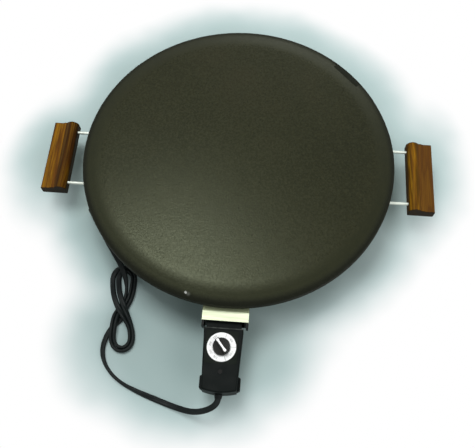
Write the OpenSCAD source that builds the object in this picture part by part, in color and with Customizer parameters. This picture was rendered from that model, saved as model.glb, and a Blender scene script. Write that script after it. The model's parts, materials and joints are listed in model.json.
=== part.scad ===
// Round electric griddle with a plug-in probe thermostat and two wooden handles.
// Millimetres, +Z up, standing on the table at z = 0, with the control towards -Y.
// Each piece is drawn about the centre of the plate, and place() moves it into the shared frame.
// A "station" is a distance from the centre of the plate towards the control, along -Y.

/* [Griddle plate] */
// Diameter over the rim
plate_d = 406.4; // [340:0.1:490]
// Height of the cooking surface above the table
cook_h = 84; // [76:1:110]
// Thickness of the cast plate
plate_t = 6; // [4.5:0.5:9]
// Width of the falling rim outside the flat
rim_w = 21.2; // [16:0.1:28]
// Fall of the rim before its rounded edge
rim_fall = 3; // [1:0.5:6]
// Radius of the rounded edge
edge_r = 6; // [5:0.5:8]
// Drop from the cooking surface to the lower edge of the skirt
rim_drop = 16; // [15:0.5:24]
// Thickness of the skirt
skirt_t = 3.5; // [2.5:0.5:4.5]
// Length of the flat notch on the rounded edge, at the rear right
notch_l = 46; // [30:1:60]
// Depth of the flat notch
notch_depth = 1.5; // [0.8:0.1:2]
// Diameter of the cast pillars under the plate
pillar_d = 12; // [10:1:16]
// Distance of the pillars and feet from the centre
foot_r = 130; // [126:1:134]

/* [Heating element] */
// Diameter of the tubular sheath
element_d = 8; // [6:0.5:9]
// Radius of the element's ring
element_r = 106; // [100:1:108]
// Radius of the bends where the ring turns towards its pins
element_bend_r = 12; // [10:1:16]
// Number of straps that hold the element
clip_count = 3; // [3:1:3]
// Thickness of a strap
clip_t = 1.2; // [0.8:0.1:1.6]

/* [Base pan and feet] */
// Radius of the base pan
pan_r = 150; // [146:1:156]
// Thickness of the pan's sheet
pan_t = 1; // [0.8:0.1:1.6]
// Height of a foot
foot_h = 31; // [26:1:36]
// Diameter of a foot at the table
foot_d1 = 24; // [20:1:28]
// Diameter of a foot at the pan
foot_d2 = 30; // [26:1:32]

/* [Handles] */
// Length of a wooden grip
grip_l = 101.6; // [90:0.1:130]
// Width of a grip, away from the plate
grip_w = 33.8; // [28:0.1:42]
// Height of a grip at its ridge
grip_t = 18.4; // [16:0.1:24]
// Height of a grip at its flatter outer side
grip_low_t = 13; // [10:0.5:15]
// Gap between the rim and a grip
hand_gap = 23.4; // [20:0.1:40]
// Diameter of a handle rod
rod_d = 4; // [3:0.5:6]
// Distance between the two rods
rod_spacing = 78; // [70:1:84]
// Drop from the cooking surface to the axis of the rods
rod_drop = 37.8; // [34:0.1:42]
// Depth of the rod holes in a grip
rod_seat = 22; // [15:1:26]

/* [Socket for the control] */
// Distance between the two terminal pins
pin_spacing = 22; // [20:0.5:24]
// Diameter of a terminal pin
pin_d = 4.8; // [4:0.1:5.2]
// Length of the bright guard outside the rim
guard_out = 14.3; // [10:0.1:20]
// Drop from the cooking surface to the top of the guard
guard_drop = 20; // [19:0.5:22]
// Half the width of the guard and of the shroud
guard_half = 27.9; // [27.9:0.1:32]
// Thickness of the guard's sheet
guard_t = 1.2; // [0.8:0.1:1.5]

/* [Control] */
// Sideways offset of the control from the centre line
control_x = -1; // [-1.5:0.5:1.5]
// Distance from the rim to the front of the control's body
control_gap = 21.4; // [18:0.1:26]
// Length of the control's body along its sides
control_l = 72.4; // [68:0.1:100]
// Half the width of the body at its front
control_half_front = 23.65; // [22.6:0.05:24]
// Half the width of the body at its back
control_half_back = 20.4; // [19.5:0.1:23.5]
// Height of the control's body
control_t = 28; // [26:1:34]
// Drop from the cooking surface to the top of the control
control_drop = 24; // [23.5:0.5:26]
// Wall of the control's shells
shell_t = 2; // [1.6:0.1:2.4]
// Length of the nose that enters the shroud
nose_l = 27.6; // [25:0.1:30]
// Diameter of the probe tube
probe_d = 6.35; // [5:0.05:7]
// Distance from the body's front to the centre of the dial
dial_set = 23.3; // [21:0.1:26]
// Diameter of the dial ring
dial_d = 34.6; // [30:0.1:36]
// Diameter of the knob
knob_d = 20.4; // [18:0.1:24]
// Height of the knob above the dial ring
knob_h = 10; // [8:0.5:14]
// Direction of the pointer in the OFF position, in degrees clockwise from the plate
off_angle = 141; // [100:1:160]
// Travel of the knob
knob_travel = 290; // [270:5:300]
// Diameter of the knob's shaft
shaft_d = 5; // [4:0.5:6]

/* [Cord and plug] */
// Width of the flat cord
cord_w = 7.2; // [6:0.1:8]
// Thickness of the flat cord
cord_t = 4.2; // [3.6:0.1:5]
// Length of the plug's body
plug_l = 30; // [26:1:34]
// Width of the plug's body
plug_w = 24; // [20:1:26]
// Height of the plug as it lies
plug_h = 16; // [14:1:18]

/* [Clearances] */
// Clearance around a running shaft or pin, on the radius
run_gap = 0.06; // [0.02:0.01:0.1]
// Clearance around a seated piece
seat_gap = 0.05; // [0.02:0.01:0.1]
// Gap between pieces that move past each other
move_gap = 0.3; // [0.2:0.05:0.5]

/* [Hidden] */

round_fn = 96;
small_fn = 48;
eps = 0.01;

// Colours
nonstick_grey = [0.20, 0.19, 0.15];
bare_metal = [0.75, 0.75, 0.73];
bright_metal = [0.93, 0.92, 0.85];
black_plastic = [0.06, 0.06, 0.06];
ceramic_white = [0.88, 0.86, 0.80];
dial_white = [0.95, 0.95, 0.94];
walnut = [0.42, 0.20, 0.08];
brass_yellow = [0.80, 0.65, 0.30];
copper_red = [0.72, 0.42, 0.25];
lamp_amber = [0.75, 0.45, 0.25];

// Plate
plate_r = plate_d / 2;
flat_r = plate_r - rim_w;
under_z = cook_h - plate_t;
skirt_z = cook_h - rim_drop;
edge_x = plate_r - edge_r;
edge_z = cook_h - rim_fall - edge_r;
web_inset = 3;
web_end = 4;
web_sink = 0.5;
notch_angle = 44;
notch_slope = 25;
pan_floor_z = foot_h + pan_t;
pan_top_z = skirt_z + 4;
foot_angles = [45, 135, 225, 315];
screw_d = 3.4;
screw_bite = 4;
screw_head_d = 6;
screw_head_h = 2.4;
head_gap = 0.2;
low_head_d = 5.6;
low_head_h = 1.8;
foot_bore_h = 22;
foot_bore_d = 9;
foot_head_d = 7.6;
foot_screw_bite = 18;

// Rods and grips
rod_z = cook_h - rod_drop;
grip_x = plate_r + hand_gap;
rod_half_l = grip_x + rod_seat - 0.2;
lug_x = 125;
lug_l = 12;
lug_w = 14;
nut_t = 3.2;
nut_af = 7;
grip_z = rod_z - 9.2;
grip_edge_r = 1.6;
ridge_r = 8.5;
cove_r = grip_t - grip_low_t + 2.6;

// Element
pin_z = cook_h - control_drop - 12;
element_z = under_z - element_d / 2 - 0.1;
leg_turn = 80;
leg_drop_r = (element_z - pin_z) / 2 / (1 - cos(leg_turn));
leg_steps = 5;
ring_steps = 60;
clip_gap = 0.3;
clip_l = 12;
clip_tab = 15;
clip_screw_x = 11;
clip_angles = [for (i = [0 : clip_count - 1]) 90 + i * 360 / clip_count];
well_half = 5.5;
well_foot_half = 16;
well_foot_l = 9;
well_foot_t = 4;
well_screw_x = 11.5;

// Stations along the socket and the control
guard_d = plate_r + guard_out;
body_d = plate_r + control_gap;
nose_d = body_d - nose_l;
cheek_d = body_d + 1.4;
back_d = body_d + control_l;
back_bulge = 3;
rear_d = back_d + back_bulge;
relief_out = 5;
control_reach = rear_d + relief_out;
insulator_t = 10;
insulator_d = nose_d - 37;
well_end_d = pan_r - 4;
well_start_d = well_end_d - 54;
guard_back_d = insulator_d + 3;
plate_y = (control_reach - plate_r) / 2;

// Socket heights
guard_top_z = cook_h - guard_drop;
shroud_top_z = guard_top_z - guard_t;
shroud_wall = 2.2;
control_top_z = cook_h - control_drop;
control_bottom_z = control_top_z - control_t;
shroud_bottom_z = control_bottom_z - 0.6;
cheek_half = guard_half - 2.7;
bay_half = 23;
rebate_h = 10.2;
pan_gap = 0.2;
hole_gap = 0.5;
leg_gap = 0.3;
probe_way = 1;
pin_way = 0.4;
tongue_t = 2.2;
tongue_half = 18;
tongue_back_d = pan_r - 15;
tongue_screw_x = 12;
tongue_screw_d = 3;
tongue_screw_station = pan_r - 8;
guard_screw_x = 18;
guard_screw_station = guard_back_d + 10;
guard_screw_d = 2.9;
guard_flange_h = 10;

// Control
nose_half = 21;
nose_top_z = control_top_z - 3;
nose_bottom_z = control_bottom_z + 3;
roof_t = 2.2;
chamfer = 1.4;
ear_half = 24.2;
ear_front = 16;
ear_l = 12;
socket_od = 7.2;
socket_front_d = nose_d + 2;
socket_l = 21;
socket_depth = 14;
pin_reach = 11.5;
dial_x = control_x - 0.8;
dial_station = body_d + dial_set;
panel_depth = 0.4;
panel_w = 39;
ring_t = 1.4;
ring_top_z = control_top_z + 0.6;
ring_hole_d = knob_d + 1.2;
knob_z = ring_top_z + move_gap;
knob_skirt_h = 4.2;
bar_end_z = knob_z + knob_h;
shaft_top_z = bar_end_z - 3;
groove_step = 1.7;
groove_w = 0.7;
bar_w = 5;
pointer_w = 2.3;
pointer_l = 16.6;
pointer_t = 0.7;
pointer_z = bar_end_z - pointer_t + 0.1;

// Works inside the control
frame_z = pin_z - 3;
frame_t = 1.2;
frame_top_z = frame_z + frame_t;
frame_half = 13.5;
frame_front_d = body_d + 2;
tab_t = 1;
frame_back_d = dial_station + 24;
post_d = 5;
post_x = 10;
post_stations = [frame_front_d + 5, frame_back_d - 4];
probe_end_d = frame_front_d - tab_t;
probe_tip_d = well_start_d + 8;
probe_bore = 4.5;
push_rod_d = 2.4;
blade_t = 0.6;
blade_h = 5;
moving_d = frame_front_d + 2.4;
fixed_d = moving_d + 3.1;
blade_z = frame_top_z + 0.2;
stack_x = control_x - 13;
stack_w = 5;
cam_r0 = 4;
cam_rise = 2;
cam_t = 4;
cam_z = pin_z + 1;
lever_z = cam_z + 1;
lever_t = 2;
lever_w = 3;
lever_gap = 0.25;
lever_arm = 20;
lever_tip = 14;
lever_x = dial_x + cam_r0 + lever_gap + lever_w / 2;
lever_pin_d = 3;
pilot_set = 51.8;
pilot_station = body_d + pilot_set;
lens_d = 5;
lens_flange_d = 7.5;
lens_flange_t = 1.2;
lamp_d = 4;
relief_x = control_x - 0.6;
relief_z = control_top_z - 18;
relief_d = 10;
relief_neck_d = 8.4;
relief_inner_d = rear_d - shell_t - 16;
wire_d = 2.2;
boss_d = 6;
shell_screw_d = 2.9;
shell_screw_head_d = 5.4;
shell_screw_sink = 2;
shell_screw_bite = 6.5;
shell_bosses = [
  [17.5, body_d + 7.4],
  [-17.5, body_d + 7.4],
  [14.5, back_d - 9],
  [-14.5, back_d - 9]
];

// The plug as it lies on the table
lying_gap = 0.3;
plug_face = [-192, -56];
plug_angle = 114;
plug_axis = [cos(plug_angle), sin(plug_angle)];
plug_z = lying_gap + plug_h / 2;
plug_relief_l = 20;
blade_spacing = 12.7;
blade_size = [17, 1.5, 6.3];
tail_end = plug_face - (plug_l + plug_relief_l) * plug_axis;
tail_before = tail_end - 3 * plug_axis;

// The cord's route, as [x, y, z] about the plate's centre. The lead's straight start keeps to the
// relief, and its far end keeps its place on the table
lead_route = [
  [-1.6, -305.0, 42.0],
  [-1.6, -307.5, 42.0],
  [-4.0, -311.5, 41.2],
  [-10.0, -315.6, 37.5],
  [-19.0, -318.2, 30.0],
  [-29.0, -318.8, 20.5],
  [-39.0, -317.4, 12.0],
  [-50.0, -314.6, 6.0],
  [-62.0, -311.2, 3.2],
  [-74.0, -307.5, 2.4],
  [-88.0, -303.1, 2.4],
  [-105.0, -297.4, 2.8],
  [-122.0, -290.2, 3.6],
  [-137.0, -280.2, 3.8],
  [-148.0, -267.5, 3.4],
  [-153.4, -255.0, 2.6],
  [-154.4, -244.0, 2.4],
  [-152.8, -235.0, 2.4]
];
lead_last = len(lead_route) - 1;
lead_straight = 2;
lead_shift = [relief_x, -control_reach, relief_z] - lead_route[0];
lead_points = [
  for (i = [0 : lead_last])
    lead_route[i] + lead_shift * (1 - max(i - lead_straight, 0) / (lead_last - lead_straight))
];
tail_points = [
  [-147.5, -139.5, 7.4],
  [-151.6, -131.4, 5.6],
  [-156.4, -124.0, 4.8],
  [-161.0, -117.0, 5.4],
  [-166.0, -110.4, 7.2],
  [tail_before.x, tail_before.y, plug_z],
  [tail_end.x, tail_end.y, plug_z]
];
hank_low = [-132.2, -235.8, 16];
hank_high = [-140, -157.6, 19.2];
hank_h = 11.8;

// ---------- shared shapes ----------

module place() {
  translate([0, plate_y, 0]) children();
}

// A bar along -Y from one station to another, at x and z
module along_y(x, z, from_d, to_d, dia) {
  translate([x, -from_d, z]) rotate([90, 0, 0]) cylinder(h = to_d - from_d, d = dia, $fn = small_fn);
}

// A block between two stations
module station_block(x0, x1, from_d, to_d, z0, z1) {
  translate([x0, -to_d, z0]) cube([x1 - x0, to_d - from_d, z1 - z0]);
}

// A bar of an outside diameter along X from one place to another
module along_x(x0, x1, y, z, dia) {
  translate([x0, y, z]) rotate([0, 90, 0]) cylinder(h = x1 - x0, d = dia, $fn = small_fn);
}

module rounded_square(w, h, r) {
  translate([r, 0]) square([w - 2 * r, h]);
  translate([0, r]) square([w, h - 2 * r]);
  for (x = [r, w - r], y = [r, h - r]) translate([x, y]) circle(r = r, $fn = 32);
}

// A screw whose head's outer face is at z0 and whose shank points up
module screw_up(z0, head_h, head_d, shank_d, tip_z) {
  difference() {
    union() {
      translate([0, 0, z0]) cylinder(h = head_h, d = head_d, $fn = small_fn);
      translate([0, 0, z0]) cylinder(h = tip_z - z0, d = shank_d, $fn = small_fn);
    }
    translate([-head_d * 0.3, -0.4, z0 - eps]) cube([head_d * 0.6, 0.8, 0.8]);
    translate([-0.4, -head_d * 0.3, z0 - eps]) cube([0.8, head_d * 0.6, 0.8]);
  }
}

function unit(v) = v / norm(v);
function tangent(points, i) =
  unit(points[min(i + 1, len(points) - 1)] - points[max(i - 1, 0)]);

// A tube of oval section that follows a list of points, its width lying level
module sweep(points, width, thick, sides) {
  last = len(points) - 1;
  rings = [
    for (i = [0 : last])
      let (t = tangent(points, i), side = unit(cross(t, [0, 0, 1])), up = cross(side, t))
        for (k = [0 : sides - 1])
          points[i] + side * cos(360 * k / sides) * width / 2 + up * sin(360 * k / sides) * thick / 2
  ];
  walls = [
    for (i = [0 : last - 1], k = [0 : sides - 1])
      let (a = i * sides, b = a + sides, n = (k + 1) % sides) [a + k, b + k, b + n, a + n]
  ];
  first_cap = [for (k = [0 : sides - 1]) k];
  last_cap = [for (k = [sides - 1 : -1 : 0]) last * sides + k];
  polyhedron(points = rings, faces = concat(walls, [first_cap, last_cap]), convexity = 8);
}

// ---------- griddle ----------

module plate_profile() {
  difference() {
    union() {
      polygon([
        [0, under_z], [0, cook_h], [flat_r, cook_h], [edge_x, edge_z + edge_r],
        [edge_x, edge_z - web_sink], [edge_x - web_end, edge_z], [flat_r - web_inset, under_z]
      ]);
      translate([edge_x, edge_z]) circle(r = edge_r, $fn = 64);
      translate([plate_r - skirt_t, skirt_z]) square([skirt_t, edge_z - skirt_z]);
    }
    translate([0, skirt_z - 1]) square([plate_r - skirt_t, edge_z - web_sink - skirt_z + 1]);
  }
}

// The wedge that leaves a flat, sloping notch on the rounded edge
module rim_notch() {
  rotate([0, 0, notch_angle]) translate([edge_x, -notch_l / 2, edge_z])
    rotate([0, notch_slope, 0]) translate([-2 * edge_r, 0, edge_r - notch_depth])
      cube([4 * edge_r, notch_l, edge_r]);
}

module griddle_plate() {
  color(nonstick_grey) difference() {
    union() {
      rotate_extrude($fn = 180) plate_profile();
      for (a = foot_angles) rotate([0, 0, a]) translate([foot_r, 0, pan_floor_z])
        cylinder(h = under_z - pan_floor_z + 1, d = pillar_d, $fn = small_fn);
      for (x = [-lug_x, lug_x], y = [-rod_spacing / 2, rod_spacing / 2])
        translate([x - lug_l / 2, y - lug_w / 2, rod_z - lug_w / 2])
          cube([lug_l, lug_w, under_z - rod_z + lug_w / 2 + 1]);
    }
    for (a = foot_angles) rotate([0, 0, a]) translate([foot_r, 0, pan_floor_z - eps])
      cylinder(h = foot_screw_bite + 2, d = screw_d + 2 * seat_gap, $fn = small_fn);
    for (y = [-rod_spacing / 2, rod_spacing / 2])
      along_x(-lug_x - lug_l, lug_x + lug_l, y, rod_z, rod_d + 2 * seat_gap);
    for (p = clip_screw_places()) translate([p.x, p.y, under_z - eps])
      cylinder(h = screw_bite, d = screw_d + 2 * seat_gap, $fn = small_fn);
    for (p = well_screw_places()) translate([p.x, p.y, under_z - eps])
      cylinder(h = screw_bite, d = screw_d + 2 * seat_gap, $fn = small_fn);
    rim_notch();
  }
}

// The end bend of the element on one side: its centre, and the ring's end angle
function bend_centre(side) =
  let (x = control_x + side * (pin_spacing / 2 + element_bend_r))
    [x, -sqrt(pow(element_r + element_bend_r, 2) - x * x)];
function ring_end(side) =
  let (c = bend_centre(side)) side > 0 ? atan2(c.y, c.x) : atan2(c.y, c.x) + 360;

// The sheath's centre line on one side, from its terminal up to the end of the ring
function leg_path(side) =
  let (
    c = bend_centre(side),
    x = control_x + side * pin_spacing / 2,
    run = 2 * leg_drop_r * sin(leg_turn),
    leg_side = side > 0 ? 180 : 0,
    ring_side = ring_end(side) + side * 180
  )
    concat(
      [[x, -insulator_d, pin_z]],
      [
        for (i = [0 : leg_steps]) let (a = leg_turn * i / leg_steps)
          [x, c.y - run + leg_drop_r * sin(a), pin_z + leg_drop_r * (1 - cos(a))]
      ],
      [
        for (i = [leg_steps - 1 : -1 : 0]) let (a = leg_turn * i / leg_steps)
          [x, c.y - leg_drop_r * sin(a), element_z - leg_drop_r * (1 - cos(a))]
      ],
      [
        for (i = [1 : leg_steps]) let (a = leg_side + (ring_side - leg_side) * i / leg_steps)
          [c.x + element_bend_r * cos(a), c.y + element_bend_r * sin(a), element_z]
      ]
    );

module heating_element() {
  right = leg_path(1);
  left = leg_path(-1);
  ring_from = ring_end(1);
  ring_turn = ring_end(-1) - ring_from;
  ring = [
    for (i = [1 : ring_steps - 1]) let (a = ring_from + ring_turn * i / ring_steps)
      [element_r * cos(a), element_r * sin(a), element_z]
  ];
  back_down = [for (i = [len(left) - 1 : -1 : 0]) left[i]];
  color(bare_metal) sweep(concat(right, ring, back_down), element_d, element_d, 12);
}

module terminal_pins() {
  color(bare_metal) for (side = [-1, 1])
    along_y(control_x + side * pin_spacing / 2, pin_z, insulator_d, nose_d + pin_reach, pin_d);
}

function clip_screw_places() = [
  for (a = clip_angles, u = [-clip_screw_x, clip_screw_x])
    [(element_r + u) * cos(a), (element_r + u) * sin(a)]
];

module clip_profile() {
  inner = element_d / 2 + clip_gap;
  outer = inner + clip_t;
  difference() {
    union() {
      translate([0, element_z]) circle(r = outer, $fn = small_fn);
      translate([-outer, element_z]) square([2 * outer, under_z - element_z]);
      translate([-clip_tab, under_z - clip_t]) square([2 * clip_tab, clip_t]);
    }
    translate([0, element_z]) circle(r = inner, $fn = small_fn);
    translate([-inner, element_z]) square([2 * inner, under_z - element_z + 1]);
    translate([-outer, under_z]) square([2 * outer, outer]);
  }
}

module element_clips() {
  color(bare_metal) for (a = clip_angles) difference() {
    rotate([0, 0, a]) translate([element_r, clip_l / 2, 0]) rotate([90, 0, 0])
      linear_extrude(height = clip_l) clip_profile();
    for (p = clip_screw_places()) translate([p.x, p.y, under_z - clip_t - 1])
      cylinder(h = clip_t + 2, d = screw_d + 2 * seat_gap, $fn = small_fn);
  }
}

module clip_screws() {
  color(bare_metal) for (p = clip_screw_places()) translate([p.x, p.y, 0])
    screw_up(under_z - clip_t - screw_head_h, screw_head_h, screw_head_d, screw_d,
      under_z + screw_bite - 0.2);
}

function well_screw_places() = [
  for (side = [-1, 1]) [control_x + side * well_screw_x, -well_start_d - well_foot_l / 2]
];

module probe_well() {
  color(bare_metal) difference() {
    union() {
      station_block(control_x - well_half, control_x + well_half, well_start_d, well_end_d,
        pin_z - well_half, under_z);
      station_block(control_x - well_foot_half, control_x + well_foot_half, well_start_d,
        well_start_d + well_foot_l, under_z - well_foot_t, under_z);
    }
    along_y(control_x, pin_z, probe_tip_d - 3, well_end_d + 1, probe_d + 2 * run_gap);
    for (p = well_screw_places()) translate([p.x, p.y, under_z - well_foot_t - 1])
      cylinder(h = well_foot_t + 2, d = screw_d + 2 * seat_gap, $fn = small_fn);
  }
}

module well_screws() {
  color(bare_metal) for (p = well_screw_places()) translate([p.x, p.y, 0])
    screw_up(under_z - well_foot_t - screw_head_h, screw_head_h, screw_head_d, screw_d,
      under_z + screw_bite - 0.2);
}

module base_pan() {
  color(bare_metal) difference() {
    translate([0, 0, foot_h]) cylinder(h = pan_top_z - foot_h, r = pan_r, $fn = 180);
    translate([0, 0, pan_floor_z]) cylinder(h = pan_top_z, r = pan_r - pan_t, $fn = 180);
    for (a = foot_angles) rotate([0, 0, a]) translate([foot_r, 0, foot_h - 1])
      cylinder(h = pan_t + 2, d = screw_d + 2 * seat_gap, $fn = small_fn);
    for (y = [-rod_spacing / 2, rod_spacing / 2])
      along_x(-pan_r - 1, pan_r + 1, y, rod_z, rod_d + 2 * hole_gap);
    for (side = [-1, 1]) {
      along_y(control_x + side * pin_spacing / 2, pin_z, pan_r - 30, pan_r + 5, element_d + 2 * hole_gap);
      translate([control_x + side * tongue_screw_x, -tongue_screw_station, foot_h - 1])
        cylinder(h = pan_t + 2, d = tongue_screw_d + 2 * seat_gap, $fn = small_fn);
    }
    along_y(control_x, pin_z, pan_r - 30, pan_r + 5, probe_d + 2 * (probe_way + hole_gap));
  }
}

module foot() {
  color(black_plastic) difference() {
    cylinder(h = foot_h, d1 = foot_d1, d2 = foot_d2, $fn = small_fn);
    translate([0, 0, -1]) cylinder(h = foot_bore_h + 1, d = foot_bore_d, $fn = small_fn);
    translate([0, 0, -1]) cylinder(h = foot_h + 2, d = screw_d + 2 * seat_gap, $fn = small_fn);
  }
}

module foot_at(angle) {
  rotate([0, 0, angle]) translate([foot_r, 0, 0]) foot();
}

module foot_front_left() {
  foot_at(foot_angles[2]);
}

module foot_front_right() {
  foot_at(foot_angles[3]);
}

module foot_rear_left() {
  foot_at(foot_angles[1]);
}

module foot_rear_right() {
  foot_at(foot_angles[0]);
}

module foot_screws() {
  color(bare_metal) for (a = foot_angles) rotate([0, 0, a]) translate([foot_r, 0, 0])
    screw_up(foot_bore_h - screw_head_h, screw_head_h, foot_head_d, screw_d,
      pan_floor_z + foot_screw_bite);
}

module handle_rod(y) {
  color(bare_metal) along_x(-rod_half_l, rod_half_l, y, rod_z, rod_d);
}

module handle_rod_front() {
  handle_rod(-rod_spacing / 2);
}

module handle_rod_rear() {
  handle_rod(rod_spacing / 2);
}

module rod_nuts() {
  color(bare_metal) for (side = [-1, 1], y = [-rod_spacing / 2, rod_spacing / 2])
    translate([side * (lug_x + lug_l / 2 + nut_t / 2), y, rod_z]) rotate([0, 90, 0]) difference() {
      cylinder(h = nut_t, d = nut_af / cos(30), center = true, $fn = 6);
      cylinder(h = nut_t + 1, d = rod_d + 2 * seat_gap, center = true, $fn = small_fn);
    }
}

// Section of a grip: a round ridge near the plate, a cove and a flatter outer side
module grip_profile() {
  rounded_square(grip_w, grip_low_t, grip_edge_r);
  translate([0, grip_edge_r]) square([ridge_r, grip_t - ridge_r - grip_edge_r]);
  translate([ridge_r, grip_t - ridge_r]) circle(r = ridge_r, $fn = 64);
  difference() {
    translate([ridge_r, grip_low_t - 1]) square([ridge_r + cove_r, cove_r + 1]);
    translate([2 * ridge_r + cove_r - 1.2, grip_low_t + cove_r]) circle(r = cove_r, $fn = 64);
    translate([ridge_r, grip_t - ridge_r + 4.6]) square([ridge_r + cove_r, cove_r + 1]);
    translate([2 * ridge_r + cove_r - 1.2, grip_low_t]) square([cove_r + 2, cove_r + 1]);
  }
}

module grip() {
  color(walnut) difference() {
    translate([grip_x, grip_l / 2, grip_z]) rotate([90, 0, 0])
      linear_extrude(height = grip_l) grip_profile();
    for (y = [-rod_spacing / 2, rod_spacing / 2])
      along_x(grip_x - 1, grip_x + rod_seat, y, rod_z, rod_d + 2 * seat_gap);
  }
}

module right_handle_grip() {
  grip();
}

module left_handle_grip() {
  mirror([1, 0, 0]) grip();
}

// ---------- socket for the control ----------

module guard_cover() {
  color(bright_metal) difference() {
    union() {
      station_block(-guard_half, guard_half, guard_back_d, guard_d, shroud_top_z, guard_top_z);
      for (side = [-1, 1])
        station_block(side > 0 ? guard_half - guard_t : -guard_half,
          side > 0 ? guard_half : guard_t - guard_half,
          guard_back_d, guard_d, guard_top_z - guard_flange_h, guard_top_z);
    }
    for (side = [-1, 1]) translate([side * guard_screw_x, -guard_screw_station, shroud_top_z - 1])
      cylinder(h = guard_t + 2, d = guard_screw_d + 2 * seat_gap, $fn = small_fn);
  }
}

module guard_screws() {
  color(bare_metal) for (side = [-1, 1])
    translate([side * guard_screw_x, -guard_screw_station, 0]) mirror([0, 0, 1])
      screw_up(-guard_top_z - low_head_h, low_head_h, low_head_d, guard_screw_d,
        -(shroud_top_z - shroud_wall + 0.4));
}

module terminal_shroud() {
  inner_top = shroud_top_z - shroud_wall;
  inner_bottom = shroud_bottom_z + shroud_wall;
  color(black_plastic) difference() {
    union() {
      station_block(-guard_half, guard_half, pan_r - 8, guard_d - 1, shroud_bottom_z, shroud_top_z);
      for (side = [-1, 1])
        station_block(side > 0 ? cheek_half : -guard_half, side > 0 ? guard_half : -cheek_half,
          guard_d - 2, cheek_d, inner_bottom, shroud_top_z);
      station_block(-tongue_half, tongue_half, tongue_back_d, pan_r + 4, foot_h - tongue_t,
        shroud_bottom_z + 1);
    }
    // The pan passes through here
    translate([0, 0, foot_h]) cylinder(h = cook_h, r = pan_r + pan_gap, $fn = 180);
    // Rebate for the guard's side flanges
    for (side = [-1, 1])
      station_block(side > 0 ? guard_half - guard_t - 0.2 : -guard_half - 1,
        side > 0 ? guard_half + 1 : -guard_half + guard_t + 0.2,
        guard_back_d - 0.5, guard_d + 0.3, guard_top_z - rebate_h - 0.1, guard_top_z);
    // Bay for the insulator and the nose
    station_block(-bay_half, bay_half, insulator_d, guard_d + 1, inner_bottom, inner_top);
    // Mouth that takes the corners of the control's body
    station_block(-cheek_half, cheek_half, guard_d - 1, cheek_d + 1, inner_bottom - 5, shroud_top_z + 1);
    for (side = [-1, 1]) {
      along_y(control_x + side * pin_spacing / 2, pin_z, pan_r - 9, insulator_d + 1,
        element_d + 2 * leg_gap);
      translate([control_x + side * tongue_screw_x, -tongue_screw_station, foot_h - tongue_t - 1])
        cylinder(h = tongue_t + 2, d = tongue_screw_d + 2 * seat_gap, $fn = small_fn);
      // Way in for the head, where the shroud is deeper than the tongue
      translate([control_x + side * tongue_screw_x, -tongue_screw_station, foot_h - tongue_t - control_t])
        cylinder(h = control_t, d = low_head_d + 2 * head_gap, $fn = small_fn);
      translate([side * guard_screw_x, -guard_screw_station, inner_top - 1])
        cylinder(h = shroud_wall + 2, d = guard_screw_d + 2 * seat_gap, $fn = small_fn);
    }
    along_y(control_x, pin_z, pan_r - 9, insulator_d + 1, probe_d + 2 * probe_way);
  }
}

module shroud_screws() {
  color(bare_metal) for (side = [-1, 1])
    translate([control_x + side * tongue_screw_x, -tongue_screw_station, 0])
      screw_up(foot_h - tongue_t - low_head_h, low_head_h, low_head_d, tongue_screw_d, pan_floor_z + 2);
}

module terminal_insulator() {
  color(ceramic_white) difference() {
    station_block(-bay_half + 0.2, bay_half - 0.2, insulator_d, insulator_d + insulator_t,
      shroud_bottom_z + shroud_wall + 0.2, shroud_top_z - shroud_wall - 0.2);
    for (side = [-1, 1])
      along_y(control_x + side * pin_spacing / 2, pin_z, insulator_d - 1, insulator_d + insulator_t + 1,
        pin_d + 2 * seat_gap);
    along_y(control_x, pin_z, insulator_d - 1, insulator_d + insulator_t + 1, probe_d + 2 * probe_way);
  }
}

// ---------- control ----------

// Outline of the body seen from above, shrunk by an inset, with a bowed back
module body_outline(inset) {
  front = control_half_front - inset;
  back = control_half_back - inset;
  steps = 12;
  polygon(concat(
    [[control_x + front, -body_d - inset], [control_x - front, -body_d - inset]],
    [
      for (i = [0 : steps]) let (u = i / steps * 2 - 1)
        [control_x + u * back, -back_d + inset - back_bulge * (1 - u * u)]
    ]
  ));
}

module nose_block(inset, z0, z1) {
  station_block(control_x - nose_half + inset, control_x + nose_half - inset,
    nose_d + inset, body_d + shell_t + 1, z0, z1);
}

module probe_and_pin_holes() {
  along_y(control_x, pin_z, nose_d - 1, socket_front_d + 1, probe_d + 2 * head_gap);
  for (side = [-1, 1])
    along_y(control_x + side * pin_spacing / 2, pin_z, nose_d - 1, socket_front_d, pin_d + 2 * pin_way);
}

// Ribs that hold the sockets and the probe between the shells
module nose_ribs(z0, z1) {
  difference() {
    for (d = [socket_front_d + 5, socket_front_d + 15])
      station_block(control_x - nose_half + 1, control_x + nose_half - 1, d, d + 2, z0, z1);
    along_y(control_x, pin_z, nose_d, body_d, probe_d + 2 * seat_gap);
    for (side = [-1, 1])
      along_y(control_x + side * pin_spacing / 2, pin_z, nose_d, body_d, socket_od + 2 * seat_gap);
  }
}

module rear_slot() {
  along_y(relief_x, relief_z, back_d - 8, rear_d + 1, relief_neck_d + 2 * seat_gap);
  station_block(relief_x - relief_neck_d / 2 - seat_gap, relief_x + relief_neck_d / 2 + seat_gap,
    back_d - 8, rear_d + 1, relief_z, pin_z);
}

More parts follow.
